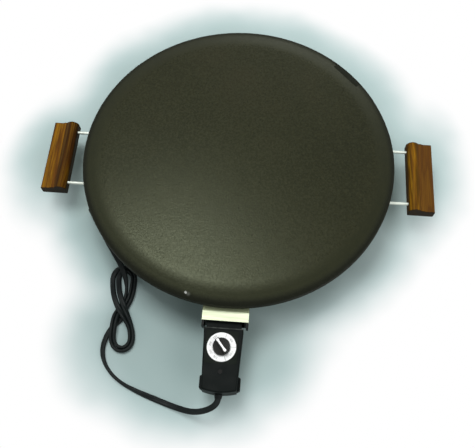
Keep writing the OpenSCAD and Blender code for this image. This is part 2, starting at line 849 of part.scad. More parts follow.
module control_upper_shell() {
  color(black_plastic) difference() {
    union() {
      difference() {
        union() {
          translate([0, 0, pin_z]) linear_extrude(height = control_top_z - chamfer - pin_z) body_outline(0);
          hull() {
            translate([0, 0, control_top_z - chamfer - eps]) linear_extrude(height = eps) body_outline(0);
            translate([0, 0, control_top_z - eps]) linear_extrude(height = eps) body_outline(chamfer);
          }
          nose_block(0, pin_z, nose_top_z);
        }
        translate([0, 0, pin_z - 1]) linear_extrude(height = control_top_z - roof_t - pin_z + 1)
          body_outline(shell_t);
        nose_block(shell_t, pin_z - 1, nose_top_z - shell_t);
      }
      nose_ribs(pin_z, nose_top_z - 1);
      for (p = shell_bosses) translate([control_x + p.x, -p.y, pin_z])
        cylinder(h = control_top_z - roof_t - pin_z + 1, d = boss_d, $fn = small_fn);
    }
    probe_and_pin_holes();
    for (p = shell_bosses) translate([control_x + p.x, -p.y, pin_z - 1])
      cylinder(h = shell_screw_bite + 2.5, d = shell_screw_d + 2 * seat_gap, $fn = small_fn);
    // Shallow panel, ring seat, shaft bearing and lens hole
    translate([dial_x - panel_w / 2, -dial_station - panel_w / 2, control_top_z - panel_depth])
      linear_extrude(height = 1) rounded_square(panel_w, panel_w + 1, 3);
    translate([dial_x, -dial_station, ring_top_z - ring_t])
      cylinder(h = 3, d = dial_d + 2 * seat_gap, $fn = round_fn);
    translate([dial_x, -dial_station, pin_z])
      cylinder(h = 20, d = shaft_d + 2 * run_gap, $fn = small_fn);
    translate([control_x, -pilot_station, pin_z])
      cylinder(h = 20, d = lens_d + 2 * seat_gap, $fn = small_fn);
  }
}

module finger_ear(side) {
  hull() {
    station_block(side > 0 ? control_x + 18 : control_x - 20, side > 0 ? control_x + 20 : control_x - 18,
      back_d - ear_front - 3, back_d - ear_front + ear_l + 3, control_bottom_z + 2, pin_z - 3);
    for (d = [back_d - ear_front, back_d - ear_front + ear_l])
      translate([control_x + side * (ear_half - 1.5), -d, control_bottom_z + 2])
        cylinder(h = pin_z - 3 - control_bottom_z - 2, r = 1.5, $fn = 32);
  }
}

module control_lower_shell() {
  color(black_plastic) difference() {
    union() {
      difference() {
        union() {
          translate([0, 0, control_bottom_z + chamfer])
            linear_extrude(height = pin_z - control_bottom_z - chamfer) body_outline(0);
          hull() {
            translate([0, 0, control_bottom_z]) linear_extrude(height = eps) body_outline(chamfer);
            translate([0, 0, control_bottom_z + chamfer]) linear_extrude(height = eps) body_outline(0);
          }
          nose_block(0, nose_bottom_z, pin_z);
          finger_ear(1);
          finger_ear(-1);
        }
        translate([0, 0, control_bottom_z + shell_t])
          linear_extrude(height = control_t) body_outline(shell_t);
        nose_block(shell_t, nose_bottom_z + shell_t, pin_z + 1);
      }
      nose_ribs(nose_bottom_z + 1, pin_z);
      for (p = shell_bosses) translate([control_x + p.x, -p.y, control_bottom_z + 1])
        cylinder(h = pin_z - control_bottom_z - 1, d = boss_d, $fn = small_fn);
      for (side = [-1, 1], d = post_stations)
        translate([control_x + side * post_x, -d, control_bottom_z + 1])
          cylinder(h = frame_z - control_bottom_z - 1, d = post_d, $fn = small_fn);
    }
    probe_and_pin_holes();
    rear_slot();
    for (p = shell_bosses) translate([control_x + p.x, -p.y, control_bottom_z - 1]) {
      cylinder(h = control_t, d = shell_screw_d + 2 * seat_gap, $fn = small_fn);
      cylinder(h = shell_screw_sink + screw_head_h + 1, d = shell_screw_head_d + 2 * head_gap,
        $fn = small_fn);
    }
  }
}

module shell_screws() {
  color(bare_metal) for (p = shell_bosses) translate([control_x + p.x, -p.y, 0])
    screw_up(control_bottom_z + shell_screw_sink, screw_head_h, shell_screw_head_d, shell_screw_d,
      pin_z + shell_screw_bite);
}

module dial_ring() {
  color(dial_white) translate([dial_x, -dial_station, ring_top_z - ring_t]) difference() {
    cylinder(h = ring_t, d = dial_d, $fn = round_fn);
    translate([0, 0, -1]) cylinder(h = ring_t + 2, d = ring_hole_d - 4, $fn = round_fn);
    translate([0, 0, ring_t - 0.8]) cylinder(h = 2, d = ring_hole_d, $fn = round_fn);
  }
}

module probe_tube() {
  color(bare_metal) difference() {
    along_y(control_x, pin_z, probe_tip_d, probe_end_d, probe_d);
    along_y(control_x, pin_z, probe_tip_d + 2, probe_end_d + 1, probe_bore);
  }
}

module probe_rod() {
  color(bare_metal) along_y(control_x, pin_z, probe_tip_d + 2, moving_d - 0.3, push_rod_d);
}

module pin_sockets() {
  color(brass_yellow) for (side = [-1, 1]) difference() {
    along_y(control_x + side * pin_spacing / 2, pin_z, socket_front_d, socket_front_d + socket_l, socket_od);
    along_y(control_x + side * pin_spacing / 2, pin_z, socket_front_d - 1, socket_front_d + socket_depth,
      pin_d + 2 * run_gap);
  }
}

module thermostat_frame() {
  color(bare_metal) difference() {
    union() {
      station_block(control_x - frame_half, control_x + frame_half, probe_end_d, frame_back_d,
        frame_z, frame_top_z);
      station_block(control_x - 7, control_x + 7, probe_end_d, frame_front_d, frame_z, pin_z + 5);
    }
    along_y(control_x, pin_z, probe_end_d - 1, frame_front_d + 1, push_rod_d + 0.2);
    translate([dial_x, -dial_station, frame_z - 1])
      cylinder(h = frame_t + 2, d = shaft_d + 2 * run_gap, $fn = small_fn);
    translate([lever_x, -dial_station - lever_arm, frame_z - 1])
      cylinder(h = frame_t + 2, d = lever_pin_d + 2 * seat_gap, $fn = small_fn);
  }
}

module contact_stack() {
  color(ceramic_white) difference() {
    translate([stack_x, -fixed_d - 2.4, frame_top_z]) cube([stack_w, fixed_d - moving_d + 4.2, 7]);
    for (d = [moving_d, fixed_d])
      station_block(stack_x + 0.5, stack_x + stack_w + 1, d - seat_gap, d + blade_t + seat_gap,
        blade_z - seat_gap, blade_z + blade_h + seat_gap);
  }
}

module contact_blade(d, contact_from, contact_to) {
  color(copper_red) {
    station_block(stack_x + 0.6, control_x + 5, d, d + blade_t, blade_z, blade_z + blade_h);
    along_y(control_x + 3, blade_z + blade_h / 2, contact_from, contact_to, 3);
  }
}

module moving_contact_blade() {
  contact_blade(moving_d, moving_d + blade_t / 2, moving_d + blade_t + 1);
}

module fixed_contact_blade() {
  contact_blade(fixed_d, fixed_d - 1, fixed_d + blade_t / 2);
}

module lever_pin() {
  color(bare_metal) translate([lever_x, -dial_station - lever_arm, 0]) {
    translate([0, 0, frame_z])
      cylinder(h = lever_z + lever_t + 1.2 - frame_z, d = lever_pin_d, $fn = small_fn);
    translate([0, 0, frame_top_z])
      cylinder(h = lever_z - 0.1 - frame_top_z, d = lever_pin_d + 2, $fn = small_fn);
  }
}

module contact_lever() {
  color(copper_red) translate([lever_x, -dial_station, lever_z]) difference() {
    union() {
      translate([-lever_w / 2, -lever_arm, 0]) cube([lever_w, lever_arm + lever_tip, lever_t]);
      translate([0, -lever_arm, 0]) cylinder(h = lever_t, d = lever_pin_d + 4, $fn = small_fn);
    }
    translate([0, -lever_arm, -1]) cylinder(h = lever_t + 2, d = lever_pin_d + 2 * run_gap, $fn = small_fn);
  }
}

module knob_body() {
  difference() {
    union() {
      translate([0, 0, knob_z]) cylinder(h = knob_skirt_h, d = knob_d, $fn = round_fn);
      intersection() {
        translate([0, 0, knob_z]) cylinder(h = knob_h, d = knob_d - 0.8, $fn = round_fn);
        translate([-bar_w / 2, -knob_d / 2, knob_z]) cube([bar_w, knob_d, knob_h]);
      }
    }
    // Grooves beside the bar
    for (side = [-1, 1], i = [0 : 2])
      translate([side * (bar_w / 2 + 0.9 + i * groove_step) - groove_w / 2, -knob_d / 2 - 1,
        knob_z + knob_skirt_h - 0.8])
        cube([groove_w, knob_d + 2, 1]);
    // Seat of the pointer and hole for the shaft
    translate([-pointer_w / 2 - seat_gap, -pointer_l / 2 - seat_gap, pointer_z])
      cube([pointer_w + 2 * seat_gap, pointer_l + 2 * seat_gap, 1]);
    translate([0, 0, knob_z - 1])
      cylinder(h = shaft_top_z - knob_z + 1, d = shaft_d + 2 * seat_gap, $fn = small_fn);
  }
}

module at_dial() {
  translate([dial_x, -dial_station, 0]) rotate([0, 0, -off_angle]) children();
}

module control_knob() {
  color(black_plastic) at_dial() knob_body();
}

module knob_pointer() {
  color(dial_white) at_dial() translate([-pointer_w / 2, -pointer_l / 2, pointer_z])
    cube([pointer_w, pointer_l, pointer_t]);
}

module knob_shaft() {
  color(bare_metal) translate([dial_x, -dial_station, frame_z - 1.5])
    cylinder(h = shaft_top_z - 0.2 - frame_z + 1.5, d = shaft_d, $fn = small_fn);
}

// Snail whose radius grows evenly, anticlockwise from the side that faces the lever
function snail_r(a) = cam_r0 + cam_rise * a / knob_travel;

module thermostat_cam() {
  color(brass_yellow) translate([dial_x, -dial_station, cam_z]) difference() {
    linear_extrude(height = cam_t) polygon(concat(
      [for (a = [0 : 10 : 300]) snail_r(a) * [cos(a), sin(a)]],
      [for (a = [320 : 10 : 350]) cam_r0 * [cos(a), sin(a)]]
    ));
    translate([0, 0, -1]) cylinder(h = cam_t + 2, d = shaft_d + 2 * seat_gap, $fn = small_fn);
  }
}

module pilot_lens() {
  color(lamp_amber) translate([control_x, -pilot_station, 0]) difference() {
    union() {
      translate([0, 0, control_top_z - roof_t - lens_flange_t])
        cylinder(h = lens_flange_t, d = lens_flange_d, $fn = small_fn);
      translate([0, 0, control_top_z - roof_t - lens_flange_t])
        cylinder(h = roof_t + lens_flange_t + 0.2, d = lens_d, $fn = small_fn);
    }
    translate([0, 0, control_top_z - roof_t - lens_flange_t - 1])
      cylinder(h = 2.6, d = lamp_d + 2 * seat_gap, $fn = small_fn);
  }
}

module pilot_lamp() {
  color(lamp_amber) translate([control_x, -pilot_station, control_top_z - roof_t - 9])
    cylinder(h = 9, d = lamp_d, $fn = small_fn);
}

module strain_relief() {
  color(black_plastic) {
    along_y(relief_x, relief_z, relief_inner_d, rear_d + 0.2, relief_neck_d);
    along_y(relief_x, relief_z, rear_d - shell_t - 2.8, rear_d - shell_t - 0.6, relief_neck_d + 3);
    translate([relief_x, -rear_d - 0.1, relief_z]) rotate([90, 0, 0])
      cylinder(h = relief_out - 0.1, d1 = relief_d, d2 = relief_neck_d - 0.4, $fn = small_fn);
  }
}

// The two wires run straight at both ends, so each end sits flat on what it joins
module control_wires() {
  socket_end_d = socket_front_d + socket_l;
  socket_x = pin_spacing / 2;
  color(copper_red) for (side = [-1, 1]) sweep([
    [control_x + side * socket_x, -socket_end_d, pin_z - 1],
    [control_x + side * socket_x, -socket_end_d - 1.4, pin_z - 1],
    [control_x + side * (socket_x - 1), -socket_end_d - 3.2, pin_z - 2.8],
    [control_x + side * (socket_x - 2.6), -socket_end_d - 5, pin_z - 6],
    [control_x + side * 6.4, -socket_end_d - 7.6, pin_z - 8.6],
    [control_x + side * 5.4, -socket_end_d - 11, pin_z - 9.6],
    [control_x + side * 5, -socket_end_d - 18, pin_z - 9.6],
    [control_x + side * 4, -relief_inner_d + 24, pin_z - 9.6],
    [control_x + side * 3, -relief_inner_d + 8, pin_z - 7.8],
    [relief_x + side * 2.4, -relief_inner_d + 2, relief_z],
    [relief_x + side * 2.4, -relief_inner_d, relief_z]
  ], wire_d, wire_d, 8);
}

// ---------- cord and plug ----------

module cord_lead() {
  color(black_plastic) sweep(lead_points, cord_w, cord_t, 10);
}

module cord_tail() {
  color(black_plastic) sweep(tail_points, cord_w, cord_t, 10);
}

module cord_hank() {
  color(black_plastic) translate([0, 0, lying_gap]) linear_extrude(height = hank_h) hull() {
    for (c = [hank_low, hank_high]) translate([c.x, c.y]) circle(r = c.z, $fn = 32);
  }
}

module at_plug() {
  translate([plug_face.x, plug_face.y, plug_z]) rotate([0, 0, plug_angle]) children();
}

// A flat slice of the plug, square to its axis
module plug_slice(x, w, h, corner_r) {
  translate([x, 0, 0]) rotate([90, 0, 90]) translate([-w / 2, -h / 2])
    linear_extrude(height = 1) rounded_square(w, h, corner_r);
}

module plug_body() {
  color(black_plastic) at_plug() {
    difference() {
      hull() {
        plug_slice(-1, plug_w - 2, plug_h - 2, 2.5);
        plug_slice(-3, plug_w, plug_h, 3);
        plug_slice(-plug_l, plug_h - 2, plug_h - 3, 6);
      }
      for (y = [-blade_spacing / 2, blade_spacing / 2])
        translate([-6, y - blade_size.y / 2 - seat_gap, -blade_size.z / 2 - seat_gap])
          cube([7, blade_size.y + 2 * seat_gap, blade_size.z + 2 * seat_gap]);
    }
    translate([-plug_l - plug_relief_l, 0, 0]) rotate([0, 90, 0])
      cylinder(h = plug_relief_l + 0.5, d1 = cord_w + 1, d2 = plug_h - 5, $fn = small_fn);
  }
}

module plug_blades() {
  color(brass_yellow) at_plug() for (y = [-blade_spacing / 2, blade_spacing / 2])
    translate([-5.8, y - blade_size.y / 2, -blade_size.z / 2])
      cube([blade_size.x + 5.8, blade_size.y, blade_size.z]);
}

place() griddle_plate();
place() heating_element();
place() terminal_pins();
place() element_clips();
place() clip_screws();
place() probe_well();
place() well_screws();
place() base_pan();
place() foot_front_left();
place() foot_front_right();
place() foot_rear_left();
place() foot_rear_right();
place() foot_screws();
place() handle_rod_front();
place() handle_rod_rear();
place() rod_nuts();
place() left_handle_grip();
place() right_handle_grip();
place() guard_cover();
place() terminal_shroud();
place() guard_screws();
place() shroud_screws();
place() terminal_insulator();
place() control_upper_shell();
place() control_lower_shell();
place() shell_screws();
place() dial_ring();
place() probe_tube();
place() probe_rod();
place() pin_sockets();
place() thermostat_frame();
place() contact_stack();
place() moving_contact_blade();
place() fixed_contact_blade();
place() lever_pin();
place() contact_lever();
place() control_knob();
place() knob_pointer();
place() knob_shaft();
place() thermostat_cam();
place() pilot_lens();
place() pilot_lamp();
place() strain_relief();
place() control_wires();
place() cord_lead();
place() cord_hank();
place() cord_tail();
place() plug_body();
place() plug_blades();
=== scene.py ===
import json
import math

import bmesh
import bpy
import numpy as np
from mathutils import Matrix, Vector

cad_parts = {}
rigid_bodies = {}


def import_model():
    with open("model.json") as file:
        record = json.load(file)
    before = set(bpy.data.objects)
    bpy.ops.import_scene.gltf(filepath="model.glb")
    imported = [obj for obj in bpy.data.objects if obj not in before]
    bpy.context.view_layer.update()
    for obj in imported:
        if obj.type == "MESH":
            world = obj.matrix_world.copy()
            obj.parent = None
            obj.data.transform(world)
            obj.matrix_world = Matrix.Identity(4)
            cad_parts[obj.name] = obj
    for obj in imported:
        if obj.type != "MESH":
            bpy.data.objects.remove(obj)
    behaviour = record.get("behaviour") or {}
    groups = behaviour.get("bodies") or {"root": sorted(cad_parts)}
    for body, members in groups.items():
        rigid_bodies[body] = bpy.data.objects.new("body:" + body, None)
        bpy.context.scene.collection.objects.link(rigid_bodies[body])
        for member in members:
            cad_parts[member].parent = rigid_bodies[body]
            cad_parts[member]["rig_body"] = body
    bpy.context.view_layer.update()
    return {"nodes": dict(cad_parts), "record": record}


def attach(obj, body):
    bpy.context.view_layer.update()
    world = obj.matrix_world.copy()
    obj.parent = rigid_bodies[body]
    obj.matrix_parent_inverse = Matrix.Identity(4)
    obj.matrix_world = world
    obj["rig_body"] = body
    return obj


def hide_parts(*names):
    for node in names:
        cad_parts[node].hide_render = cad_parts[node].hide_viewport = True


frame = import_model()
nodes = frame["nodes"]
scene = bpy.context.scene

# Shapes below are in millimetres about the plate's centre, as in part.scad. The shared frame is in
# metres, with the plate's centre PLATE_Y millimetres towards +Y.
MM = 0.001
PLATE_Y = 50.9


def at(x, y, z):
    """A place in the shared frame, from millimetres about the plate's centre."""
    return Vector((x * MM, (y + PLATE_Y) * MM, z * MM))


# ---------- camera ----------

CAMERA_AT = (32.55, -404.78, 782.69)
CAMERA_PITCH = 66.35
CAMERA_YAW = 4.94
CAMERA_ROLL = -0.77
CAMERA_LENS = 46.888


def make_camera():
    pitch, yaw, roll = (math.radians(a) for a in (CAMERA_PITCH, CAMERA_YAW, CAMERA_ROLL))
    forward = Vector((0, math.cos(pitch), -math.sin(pitch)))
    level = Vector((1, 0, 0))
    rise = Vector((0, math.sin(pitch), math.cos(pitch)))
    right = level * math.cos(roll) + rise * math.sin(roll)
    up = rise * math.cos(roll) - level * math.sin(roll)
    turn = Matrix((right, up, -forward)).transposed()
    data = bpy.data.cameras.new("camera")
    data.sensor_fit = "HORIZONTAL"
    data.sensor_width = 36
    data.lens = CAMERA_LENS
    data.clip_start, data.clip_end = 0.01, 50
    cam = bpy.data.objects.new("camera", data)
    scene.collection.objects.link(cam)
    cam.matrix_world = Matrix.Translation(at(*CAMERA_AT)) @ (
        Matrix.Rotation(yaw, 4, "Z") @ turn.to_4x4())
    scene.camera = cam


make_camera()


# ---------- materials ----------

# Places in millimetres about the plate: the dial's axis, and a chip in the coating at the front of
# the rounded edge with the scuff beside it
DIAL = (-1.8, -247.9)
CHIP = (-48.6, -191.0)
SCUFF = (-45.2, -192.6)
# Where things start and end, in metres. Radii of the plate: the falling rim, its rounded edge
RIM_BAND = (0.1760, 0.1890)
EDGE_BAND = (0.1930, 0.1990)
# The flat notch in the rounded edge: its direction, how far out it starts, its half length
NOTCH = math.radians(44.0)
NOTCH_BAND = (0.1904, 0.1912)
NOTCH_HALF = (0.0218, 0.0228)
# The grips, outwards from the plate: the inner side, the ridge's fall, the cove's middle and half
# width, the flat; then the ends along Y. The inner side and the cove carry painted shade; the ends
# are darker as end grain and painted shade
GRIP_SIDE = (0.2266, 0.2284)
GRIP_RIDGE = (0.2400, 0.2450)
GRIP_COVE = 0.2398
GRIP_COVE_HALF = (0.0018, 0.0044)
GRIP_FLAT = (0.2385, 0.2430)
GRIP_END = (0.0500, 0.0506)
# The control: the depth and half width of the panel round the dial, the painted highlight along the
# front edge
PANEL_TOP = (0.05962, 0.05990)
PANEL_HALF = (0.0193, 0.0198)
HIGHLIGHT_STATION = (0.2254, 0.2264)
HIGHLIGHT_TOP = (0.0570, 0.0582)
# The guard: where a painted shadow of the plate's rim darkens it, as distances in front of the
# plate's centre
GUARD_RIM_SHADOW = (0.2054, 0.2070)


class Shade:
    """One node material: a Principled shader and short calls for the nodes that feed it."""

    def __init__(self, name, **sockets):
        self.mat = bpy.data.materials.new(name)
        self.mat.use_nodes = True
        self.tree = self.mat.node_tree
        self.shader = self.tree.nodes["Principled BSDF"]
        for key, value in sockets.items():
            self.shader.inputs[key.replace("_", " ")].default_value = value
        self.coords = self.add("ShaderNodeTexCoord").outputs["Object"]

    def add(self, kind):
        return self.tree.nodes.new(kind)

    def link(self, a, b):
        self.tree.links.new(a, b)

    def feed(self, node, values):
        for key, value in values.items():
            if isinstance(value, bpy.types.NodeSocket):
                self.link(value, node.inputs[key])
            else:
                node.inputs[key].default_value = value
        return node

    def mapped(self, scale, turn=(0, 0, 0), shift=(0, 0, 0)):
        n = self.feed(self.add("ShaderNodeMapping"), {
            "Vector": self.coords, "Scale": scale, "Rotation": turn, "Location": shift})
        return n.outputs["Vector"]

    def noise(self, scale, detail=3.0, rough=0.5, distortion=0.0, vector=None):
        n = self.feed(self.add("ShaderNodeTexNoise"), {
            "Vector": vector or self.coords, "Scale": scale, "Detail": detail,
            "Roughness": rough, "Distortion": distortion})
        return n.outputs["Fac"]

    def ramp(self, value, stops, smooth=False):
        n = self.add("ShaderNodeValToRGB")
        if smooth:
            n.color_ramp.interpolation = "EASE"
        marks = n.color_ramp.elements
        while len(marks) < len(stops):
            marks.new(0.5)
        for mark, (place, colour) in zip(marks, stops):
            mark.position = place
            mark.color = (*colour, 1)
        self.link(value, n.inputs["Fac"])
        return n.outputs["Color"]

    def math(self, operation, a, b=0.0, clamp=False):
        n = self.add("ShaderNodeMath")
        n.operation = operation
        n.use_clamp = clamp
        return self.feed(n, {0: a, 1: b}).outputs[0]

    def mix(self, share, a, b, blend="MIX"):
        n = self.add("ShaderNodeMix")
        n.data_type = "RGBA"
        n.blend_type = blend
        for key, value in ((0, share), (6, a), (7, b)):
            if isinstance(value, bpy.types.NodeSocket):
                self.link(value, n.inputs[key])
            else:
                n.inputs[key].default_value = (*value, 1) if key else value
        return n.outputs[2]

    def spread(self, value, low, high, to_low, to_high):
        n = self.feed(self.add("ShaderNodeMapRange"), {
            "Value": value, "From Min": low, "From Max": high, "To Min": to_low, "To Max": to_high})
        n.clamp = True
        return n.outputs["Result"]

    def bump(self, height, strength, distance, under=None):
        n = self.feed(self.add("ShaderNodeBump"), {
            "Height": height, "Strength": strength, "Distance": distance})
        if under is not None:
            self.link(under, n.inputs["Normal"])
        return n.outputs["Normal"]

    def colour(self, socket):
        self.link(socket, self.shader.inputs["Base Color"])

    def rough(self, socket):
        self.link(socket, self.shader.inputs["Roughness"])

    def normal(self, socket):
        self.link(socket, self.shader.inputs["Normal"])

    def part(self, axis):
        n = self.add("ShaderNodeSeparateXYZ")
        self.link(self.coords, n.inputs[0])
        return n.outputs[axis]

    def north(self):
        """Metres behind the plate's centre, along +Y."""
        return self.math("SUBTRACT", self.part("Y"), PLATE_Y * MM)

    def station(self):
        """Metres in front of the plate's centre, along -Y."""
        return self.math("SUBTRACT", PLATE_Y * MM, self.part("Y"))

    def times(self, a, b):
        return self.math("MULTIPLY", a, b)

    def away(self, x, y):
        """Distance in metres from a vertical line through x, y."""
        dx = self.math("SUBTRACT", self.part("X"), x)
        dy = self.math("SUBTRACT", self.part("Y"), y)
        squares = self.math("ADD", self.times(dx, dx), self.times(dy, dy))
        return self.math("SQRT", squares)


def nonstick():
    """The plate's coating: dark and flecked, duller on the rim, darkest at the edge and notch,
    where painted shade darkens it.
    """
    s = Shade("nonstick_coating", Specular_IOR_Level=0.175, Specular_Tint=(0.90, 1.0, 0.68, 1.0))
    tone = s.noise(9.0, 4, 0.55)
    ground = s.ramp(tone, [(0.30, (0.0100, 0.0103, 0.0043)), (0.55, (0.0125, 0.0127, 0.0053)),
                           (0.75, (0.0160, 0.0147, 0.0066))], smooth=True)
    patches = s.spread(s.noise(26.0, 3, 0.6), 0.45, 0.85, 0.0, 0.12)
    patches.node.interpolation_type = "SMOOTHSTEP"
    ground = s.mix(patches, ground, (0.0230, 0.0200, 0.0090))
    fleck = s.spread(s.noise(400.0, 3, 0.7), 0.46, 0.66, 0.0, 0.60)
    ground = s.mix(fleck, ground, (0.0290, 0.0285, 0.0135))
    pits = s.noise(380.0, 3, 0.7, 0.0, s.mapped((1, 1, 1), shift=(3.1, 1.7, 0.4)))
    pits = s.spread(pits, 0.54, 0.68, 0.0, 0.8)
    ground = s.mix(pits, ground, (0.0030, 0.0032, 0.0018))
    radius = s.away(0.0, PLATE_Y * MM)
    rim = s.spread(radius, *RIM_BAND, 0.0, 1.0)
    rim_tone = s.ramp(s.noise(60.0, 4, 0.6), [(0.3, (0.0060, 0.0068, 0.0026)),
                                              (0.7, (0.0098, 0.0102, 0.0040))])
    ground = s.mix(s.times(rim, 0.75), ground, rim_tone)
    # Painted shade on the rounded edge, which turns down away from the light
    edge = s.spread(radius, *EDGE_BAND, 0.0, 0.92)
    ground = s.mix(edge, ground, (0.0040, 0.0042, 0.0030))
    x, y = s.part("X"), s.north()
    out = s.math("ADD", s.times(x, math.cos(NOTCH)), s.times(y, math.sin(NOTCH)))
    aside = s.math("SUBTRACT", s.times(y, math.cos(NOTCH)), s.times(x, math.sin(NOTCH)))
    # Painted shade on the notch's flat facet
    cut = s.times(s.spread(out, *NOTCH_BAND, 0.0, 0.9),
                  s.spread(s.math("ABSOLUTE", aside), *NOTCH_HALF, 1.0, 0.0))
    ground = s.mix(cut, ground, (0.0030, 0.0034, 0.0022))
    chip = s.away(CHIP[0] * MM, (CHIP[1] + PLATE_Y) * MM)
    chip = s.math("ADD", chip, s.times(s.noise(700.0, 2), 0.0016))
    ground = s.mix(s.spread(chip, 0.0020, 0.0027, 1.0, 0.0), ground, (0.40, 0.41, 0.39))
    scuff = s.away(SCUFF[0] * MM, (SCUFF[1] + PLATE_Y) * MM)
    ground = s.mix(s.spread(scuff, 0.0004, 0.0030, 0.22, 0.0), ground, (0.30, 0.31, 0.28))
    s.colour(ground)
    flat_rough = s.spread(s.noise(9.0, 1), 0.1, 0.9, 0.255, 0.290)
    speckle = s.noise(360.0, 3, 0.7, 0.0, s.mapped((1, 1, 1), shift=(1.3, 4.1, 0.9)))
    speckle = s.spread(speckle, 0.38, 0.62, -0.05, 0.05)
    flat_rough = s.math("ADD", flat_rough, speckle)
    outer = s.math("MAXIMUM", s.times(edge, 0.30), s.times(cut, 0.45))
    s.rough(s.math("ADD", flat_rough, s.math("ADD", s.times(rim, 0.22), outer)))
    fine = s.bump(s.noise(450.0, 3, 0.7), 0.34, 0.0005)
    s.normal(s.bump(s.noise(110.0, 3, 0.5), 0.05, 0.0015, fine))
    return s.mat


def walnut():
    """Oiled wood, grain along Y; the right grip's flat is redder. Painted light and shade lighten
    one side of each grip, painted shade darkens the coves and inner sides, and the ends are darker
    as end grain and painted shade.
    """
    s = Shade("oiled_walnut", Specular_IOR_Level=0.03)
    bend = s.noise(7.0, 3, 0.5, vector=s.mapped((1.0, 0.6, 1.0)))
    bands = s.noise(1.0, 3.0, 0.55, 1.2, s.mapped((82.0, 4.5, 60.0), (0.0, 0.10, 0.03)))
    base = s.ramp(bands, [(0.36, (0.0170, 0.0065, 0.0025)), (0.43, (0.1200, 0.0390, 0.0045)),
                          (0.50, (0.2500, 0.1180, 0.0060)), (0.56, (0.0950, 0.0290, 0.0040)),
                          (0.60, (0.0240, 0.0085, 0.0030)), (0.66, (0.3300, 0.1650, 0.0090))])
    base = s.mix(s.spread(bend, 0.4, 0.7, 0.0, 0.35), base, (0.2400, 0.1200, 0.0050))
    grain = s.noise(1.0, 4.0, 0.65, 0.4, s.mapped((620.0, 14.0, 620.0), (0.0, 0.0, 0.03)))
    base = s.mix(s.spread(grain, 0.42, 0.62, 0.55, 0.0), base, (0.0380, 0.0140, 0.0050))
    pores = s.noise(1.0, 2.0, 0.6, 0.2, s.mapped((1500.0, 42.0, 1500.0), (0.0, 0.0, 0.03)))
    base = s.mix(s.spread(pores, 0.60, 0.70, 0.0, 0.7), base, (0.0180, 0.0080, 0.0040))
    out = s.math("ABSOLUTE", s.part("X"))
    # Painted light and shade: the right grip's ridge and the left grip's flat lighter, the other
    # parts darker
    ridge = s.spread(out, *GRIP_RIDGE, 1.0, -1.0)
    lighter = s.times(ridge, s.spread(s.part("X"), -0.05, 0.05, -1.0, 1.0))
    base = s.mix(1.0, base, s.spread(lighter, -1.0, 1.0, 0.64, 1.22), "MULTIPLY")
    left = s.spread(s.part("X"), -0.05, 0.05, 1.0, 0.0)
    # Painted shade in the cove, strongest on the left grip
    cove = s.math("ABSOLUTE", s.math("SUBTRACT", out, GRIP_COVE))
    cove = s.times(s.spread(cove, *GRIP_COVE_HALF, 0.62, 0.0), s.spread(left, 0.0, 1.0, 0.2, 1.0))
    base = s.mix(cove, base, (0.0420, 0.0200, 0.0080))
    red = s.times(s.spread(out, *GRIP_FLAT, 0.0, 0.62), s.spread(left, 0.0, 1.0, 1.0, 0.25))
    base = s.mix(red, base, (0.1150, 0.0460, 0.0120))
    # Painted shade on the inner sides, which face the plate
    base = s.mix(s.spread(out, *GRIP_SIDE, 0.75, 0.0), base, (0.0220, 0.0140, 0.0060))
    # The ends darker, as end grain and painted shade
    end = s.spread(s.math("ABSOLUTE", s.north()), *GRIP_END, 0.0, 0.9)
    s.colour(s.mix(end, base, (0.0100, 0.0070, 0.0035)))
    s.rough(s.spread(grain, 0.3, 0.7, 0.36, 0.52))
    low = s.bump(pores, 0.22, 0.0003)
    s.normal(s.bump(grain, 0.18, 0.0004, low))
    return s.mat


def drawn_metal(name, colour, dark, rough, scale, rim_shadow_band=None):
    """Metal with fine streaks: scale stretches them; the last argument, when given, is where a
    painted shadow darkens it.
    """
    s = Shade(name, Metallic=1.0)
    streak = s.noise(1.0, 3.0, 0.6, 0.0, s.mapped(scale))
    stain_and_shade = s.noise(60.0, 4, 0.6)
    base = s.mix(s.spread(streak, 0.35, 0.7, 0.0, 0.5), colour, dark)
    base = s.mix(s.spread(stain_and_shade, 0.55, 0.75, 0.0, 0.35), base, dark)
    if rim_shadow_band:
        # Painted shadow: the plate's rim shades the part of the guard nearest the plate
        base = s.mix(s.spread(s.station(), *rim_shadow_band, 0.95, 0.0), base, (0.175, 0.200, 0.120))
    s.colour(base)
    s.rough(s.spread(streak, 0.3, 0.7, rough, rough + 0.14))
    s.normal(s.bump(streak, 0.12, 0.0002))
    return s.mat


def moulded(name, colour, light, rough, **sockets):
    """Moulded plastic: a fine eroded grain, slow colour drift and a few lighter rubbed marks."""
    s = Shade(name, **sockets)
    drift = s.spread(s.noise(45.0, 4, 0.6), 0.35, 0.75, 0.0, 0.6)
    base = s.mix(drift, colour, light)
    rubbed = s.noise(1.0, 3, 0.7, 0.5, s.mapped((260.0, 90.0, 260.0)))
    rubbed = s.spread(rubbed, 0.66, 0.78, 0.0, 0.5)
    s.colour(s.mix(rubbed, base, tuple(min(1.0, c * 1.6) for c in light)))
    s.rough(s.spread(s.noise(80.0, 3), 0.3, 0.7, rough, rough + 0.12))
    s.normal(s.bump(s.noise(1400.0, 2, 0.6), 0.14, 0.0003))
    return s.mat


